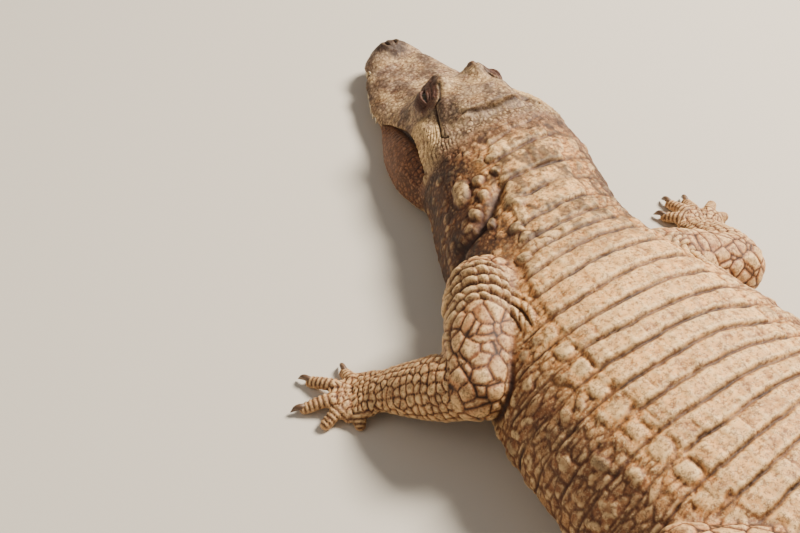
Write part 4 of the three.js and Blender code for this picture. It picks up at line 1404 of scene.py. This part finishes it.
class Material:
    """A node material built up in layers of colour."""

    def __init__(self, name, base, roughness, specular=0.5):
        self.material = bpy.data.materials.new(name)
        self.material.use_nodes = True
        self.tree = self.material.node_tree
        self.shader = self.tree.nodes["Principled BSDF"]
        self.shader.inputs["Roughness"].default_value = roughness
        self.shader.inputs["Specular IOR Level"].default_value = specular
        self.colour = self.node("RGB").outputs[0]
        for socket in (self.colour, self.shader.inputs["Base Color"]):
            socket.default_value = linear(*base)
        self.place = self.node("TexCoord").outputs["Object"]

    def node(self, kind, inputs=None, **settings):
        """A new node. Its inputs, by name or by number, are set to a value or linked to an output."""
        made = self.tree.nodes.new("ShaderNode" + kind)
        for name, value in settings.items():
            setattr(made, name, value)
        for name, value in (inputs or {}).items():
            self.feed(made.inputs[name], value)
        return made

    def feed(self, socket, value):
        if isinstance(value, bpy.types.NodeSocket):
            self.tree.links.new(value, socket)
        else:
            socket.default_value = value

    def mask(self, name):
        return self.node("Attribute", attribute_name=name).outputs["Fac"]

    def noise(self, size, detail=3.0, rough=0.6):
        """Noise with lumps of the given size in mm."""
        inputs = {"Scale": 1 / (size * MM), "Detail": detail, "Roughness": rough, "Vector": self.place}
        return self.node("TexNoise", inputs).outputs["Fac"]

    def math(self, kind, a, b):
        return self.node("Math", {0: a, 1: b}, operation=kind, use_clamp=True).outputs[0]

    def ramp(self, value, low, high):
        inputs = {"From Min": low, "From Max": high, "Value": value}
        return self.node("MapRange", inputs, interpolation_type="SMOOTHSTEP").outputs["Result"]

    def layer(self, colour, mask, share=1.0):
        """Lays a colour over what is there, through a mask or the mask of that name."""
        if isinstance(mask, str):
            mask = self.mask(mask)
        if share != 1.0:
            mask = self.math("MULTIPLY", mask, share)
        node = self.node("Mix", data_type="RGBA")
        factor, a, b = (socket for socket in node.inputs if socket.enabled)
        for socket, value in ((factor, mask), (a, self.colour), (b, linear(*colour))):
            self.feed(socket, value)
        self.colour = next(socket for socket in node.outputs if socket.enabled)

    def bump(self, height, distance, strength=1.0):
        node = self.node("Bump", {"Distance": distance * MM, "Strength": strength, "Height": height})
        self.feed(self.shader.inputs["Normal"], node.outputs["Normal"])

    def done(self):
        self.feed(self.shader.inputs["Base Color"], self.colour)
        return self.material


def skin_material():
    skin = Material("hide", (118, 66, 34), 0.6, 0.35)
    # broad colours of the parts
    skin.layer((174, 116, 68), "tone", 0.7)
    skin.layer((255, 178, 98), "back")
    skin.layer((202, 140, 88), "limb")
    skin.layer((138, 92, 52), "tail", 0.8)
    skin.layer((170, 144, 124), "head")
    skin.layer((146, 88, 48), "warm", 0.85)
    # blotches, pale scales and a painted highlight along the ridges
    skin.layer((114, 66, 36), skin.ramp(skin.noise(30, 4), 0.45, 0.66), 0.42)
    skin.layer((255, 212, 146), "pale", 0.84)
    plain = skin.math("SUBTRACT", 1.0, skin.mask("tone"))
    dull = skin.math("MULTIPLY", plain, skin.ramp(skin.noise(18, 4), 0.42, 0.6))
    skin.layer((132, 84, 48), dull, 0.55)
    # painted highlight on the ridges of the relief, weaker on the warm parts
    unlit = skin.math("MULTIPLY", skin.mask("warm"), 0.45)
    lit = skin.math("MULTIPLY", skin.mask("ridge"), skin.math("SUBTRACT", 0.52, unlit))
    skin.layer((255, 220, 160), lit)
    # dirt and dust
    skin.layer((118, 62, 32), skin.ramp(skin.noise(13, 5, 0.75), 0.5, 0.66), 0.52)
    skin.layer((86, 44, 24), skin.ramp(skin.noise(5, 5, 0.75), 0.5, 0.57), 0.6)
    flecks = skin.math("MULTIPLY", skin.ramp(skin.noise(3.4, 4, 0.7), 0.53, 0.62), 0.6)
    flecks = skin.math("MULTIPLY", flecks, skin.math("SUBTRACT", 1.0, skin.mask("warm")))
    dust = skin.math("MULTIPLY", flecks, skin.math("ADD", skin.mask("back"), 0.4))
    skin.layer((255, 218, 158), dust)
    # dark parts (among them a painted shadow on the neck), lids and belly, then the hollows and creases: the
    # hide's dark seams and dust, darkened further as painted shadow
    skin.layer((62, 46, 37), "dark", 0.9)
    skin.layer((80, 45, 32), "lid", 0.92)
    skin.layer((216, 180, 134), "under")
    # painted shadow in the hollows of the relief, with reddish dust there
    skin.layer((100, 46, 20), "hollow", 0.6)
    # seams, folds, slits and openings near black: the hide's dark seams, deepened as painted shadow in them
    skin.layer((38, 18, 9), "crease", 0.96)
    skin.bump(skin.noise(1.6, 4), 0.6, 0.8)
    return skin.done()


def claw_material():
    claw = Material("claw", (96, 70, 50), 0.45, 0.5)
    claw.layer((146, 116, 86), claw.ramp(claw.noise(9, 3), 0.45, 0.75))
    return claw.done()


def tooth_material():
    tooth = Material("tooth", (226, 210, 176), 0.35, 0.5)
    tooth.layer((176, 142, 96), tooth.ramp(tooth.noise(5, 3), 0.4, 0.7), 0.6)
    return tooth.done()


def eye_material():
    eye = Material("eye", (70, 60, 34), 0.08, 0.6)
    eye.layer((22, 18, 12), eye.ramp(eye.noise(3, 3), 0.4, 0.6))
    return eye.done()


# ---------- pieces ----------

# [station, length below the lip]
UPPER_TEETH = [
    [10, 8], [18, 10], [29, 12], [39, 12], [70, 10], [84, 13], [99, 16], [114, 14], [130, 10], [145, 8],
]
TOOTH = Group(radius=3.2, inset=4, root=6, point=0.15)
FOURTH_TOOTH = Group(s=52, inset=9, lean=8, rise=10, radius=3.4, root=8)
CLAW = Group(length=17, radius=4.6, droop=4, sink=4, rise=1, toes=3)
CLAW_TAPER = [[0, 1, 1], [0.6, 0.68, 0.8], [1, 0.12, 0.14]]  # share of the length, then of the radius
EYE_SHAPE = Group(segments=64, rings=40, pole=0.02)


def finish_piece(made, material):
    made.data.polygons.foreach_set("use_smooth", np.ones(len(made.data.polygons), bool))
    made.data.materials.append(material)
    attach(made, "root")
    return made


def tooth_rings(base, tip, radius):
    """A slender cone that bulges at the gum."""
    axis = tip - base
    across = unit(np.cross(axis, [0, 0, 1.0001]))
    along = np.cross(unit(axis), across)
    angle = circle(20)[:, None]
    rings = []
    for t in np.linspace(0, 1, 10):
        wide = radius * ((1 - t) ** 0.75 + TOOTH.point * t)
        rings.append(base + axis * t + wide * (across * np.cos(angle) + along * np.sin(angle)))
    return loft(rings)


def teeth(side):
    parts = []
    for s, length in UPPER_TEETH:
        half, _, lip, _ = upper_head_at(s)
        across = side * (half - TOOTH.inset)
        base, tip = body_points(s, across, lip + TOOTH.root), body_points(s, across + side, lip - length)
        parts.append(tooth_rings(base, tip, TOOTH.radius))
    t = FOURTH_TOOTH
    lip = upper_head_at(t.s)[2]
    across = side * (lower_jaw_at(t.s)[0] - t.inset)
    base = body_points(t.s, across, lip - t.root)
    parts.append(tooth_rings(base, body_points(t.s, across + side * t.lean, lip + t.rise), t.radius))
    return parts


def claw_mesh(path):
    """A curved pointed claw along the last stretch of a toe."""
    base, _, tip = path
    outwards = unit((tip - base) * [1, 1, 0])
    lift = np.array([0, 0, CLAW.rise])
    point = tip + outwards * CLAW.length - [0, 0, CLAW.droop]
    route = [tip - outwards * CLAW.sink + lift, tip + outwards * CLAW.length / 2 + 3 * lift, point]
    rows = [[share, CLAW.radius * wide, CLAW.radius * high] for share, wide, high in CLAW_TAPER]
    return loft(limb_rings(route, rows, sides=24, steps=16, caps=4))


def eye_mesh(side):
    polar = np.linspace(EYE_SHAPE.pole, math.pi - EYE_SHAPE.pole, EYE_SHAPE.rings)[:, None]
    around = circle(EYE_SHAPE.segments)[None, :]
    ball = [np.sin(polar) * np.cos(around), np.sin(polar) * np.sin(around), np.cos(polar) + 0 * around]
    return loft(eye_centre(side) + EYE.radius * np.stack(ball, -1))


FLESH_NODES = ("head", "lower_jaw", "neck", "trunk", "tail_", "upper_arm", "forearm", "hand_", "thigh",
               "shin", "foot_")


def is_flesh(name):
    return name.startswith(FLESH_NODES) and "claw" not in name


def solid_piece(name, parts, material):
    return finish_piece(mesh_object(name, *joined(parts)), material)


skin = finish_piece(make_skin(), skin_material())
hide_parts(*filter(is_flesh, frame["nodes"]))

claws_finish, teeth_finish, eyes_finish = claw_material(), tooth_material(), eye_material()
for leg_name, leg in LEGS.items():
    limb_name, side_name = leg_name.split("_")
    for index, toe in enumerate(leg["toes"][:CLAW.toes]):
        name = f"{limb_name}_claw_{side_name}_{index + 1}"
        claw = solid_piece(name + "_horn", [claw_mesh(toe_path(leg, toe))], claws_finish)
        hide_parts(name)
for side_name, side in (("left", -1), ("right", 1)):
    eye = solid_piece(f"eyeball_{side_name}", [eye_mesh(side)], eyes_finish)
    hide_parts(f"eye_{side_name}")
    solid_piece(f"teeth_{side_name}", teeth(side), teeth_finish)

# ---------- floor, light and camera ----------

FLOOR = Group(size=40, gap=0.0005)  # in metres, as are the lights' distances and sizes
SKY = Group(colour=(1.0, 0.95, 0.9, 1), strength=0.27)
LIGHTS = [
    dict(name="key", azimuth=78, elevation=50, distance=4.5, size=1.3, power=560, colour=(1.0, 0.92, 0.81)),
    dict(name="fill", azimuth=-70, elevation=40, distance=5.0, size=3.0, power=30, colour=(1.0, 0.96, 0.92)),
]
CAMERA = Group(target=[-98.75, 426.13, 0], azimuth=37.238, elevation=43.689, distance=1788.4, roll=5.295,
               lens=59.33, sensor=36, clip_end=100)


def floor():
    bpy.ops.mesh.primitive_plane_add(size=FLOOR.size, location=(0, 0, -FLOOR.gap))
    plane = bpy.context.object
    plane.name = "floor"
    ground = Material("floor", (214, 206, 192), 0.9, 0.2)
    plane.data.materials.append(ground.done())


def direction(azimuth, elevation):
    """Azimuth runs clockwise from +Y seen from above, and elevation up from the floor."""
    level = math.cos(elevation)
    return Vector((math.sin(azimuth) * level, math.cos(azimuth) * level, math.sin(elevation)))


def area_light(name, azimuth, elevation, distance, size, power, colour):
    light = bpy.data.lights.new(name, "AREA")
    light.size, light.energy, light.color = size, power, colour
    made = linked(name, light)
    made.location = direction(math.radians(azimuth), math.radians(elevation)) * distance
    made.rotation_euler = (-made.location).to_track_quat("-Z", "Y").to_euler()


def lights():
    world = bpy.data.worlds.new("studio")
    bpy.context.scene.world = world
    world.use_nodes = True
    background = world.node_tree.nodes["Background"]
    background.inputs["Color"].default_value = SKY.colour
    background.inputs["Strength"].default_value = SKY.strength
    for light in LIGHTS:
        area_light(**light)


def camera():
    a, e, r = (math.radians(angle) for angle in (CAMERA.azimuth, CAMERA.elevation, CAMERA.roll))
    ahead = direction(a, -e)
    level = Vector((math.cos(a), -math.sin(a), 0))
    up = level.cross(ahead)
    across = level * math.cos(r) + up * math.sin(r)
    upright = up * math.cos(r) - level * math.sin(r)
    data = bpy.data.cameras.new("camera")
    data.lens, data.sensor_width, data.clip_end = CAMERA.lens, CAMERA.sensor, CAMERA.clip_end
    made = linked("camera", data)
    matrix = Matrix((across, upright, -ahead)).transposed().to_4x4()
    matrix.translation = (Vector(in_world(CAMERA.target)) - ahead * CAMERA.distance) * MM
    made.matrix_world = matrix
    bpy.context.scene.camera = made


floor()
lights()
camera()
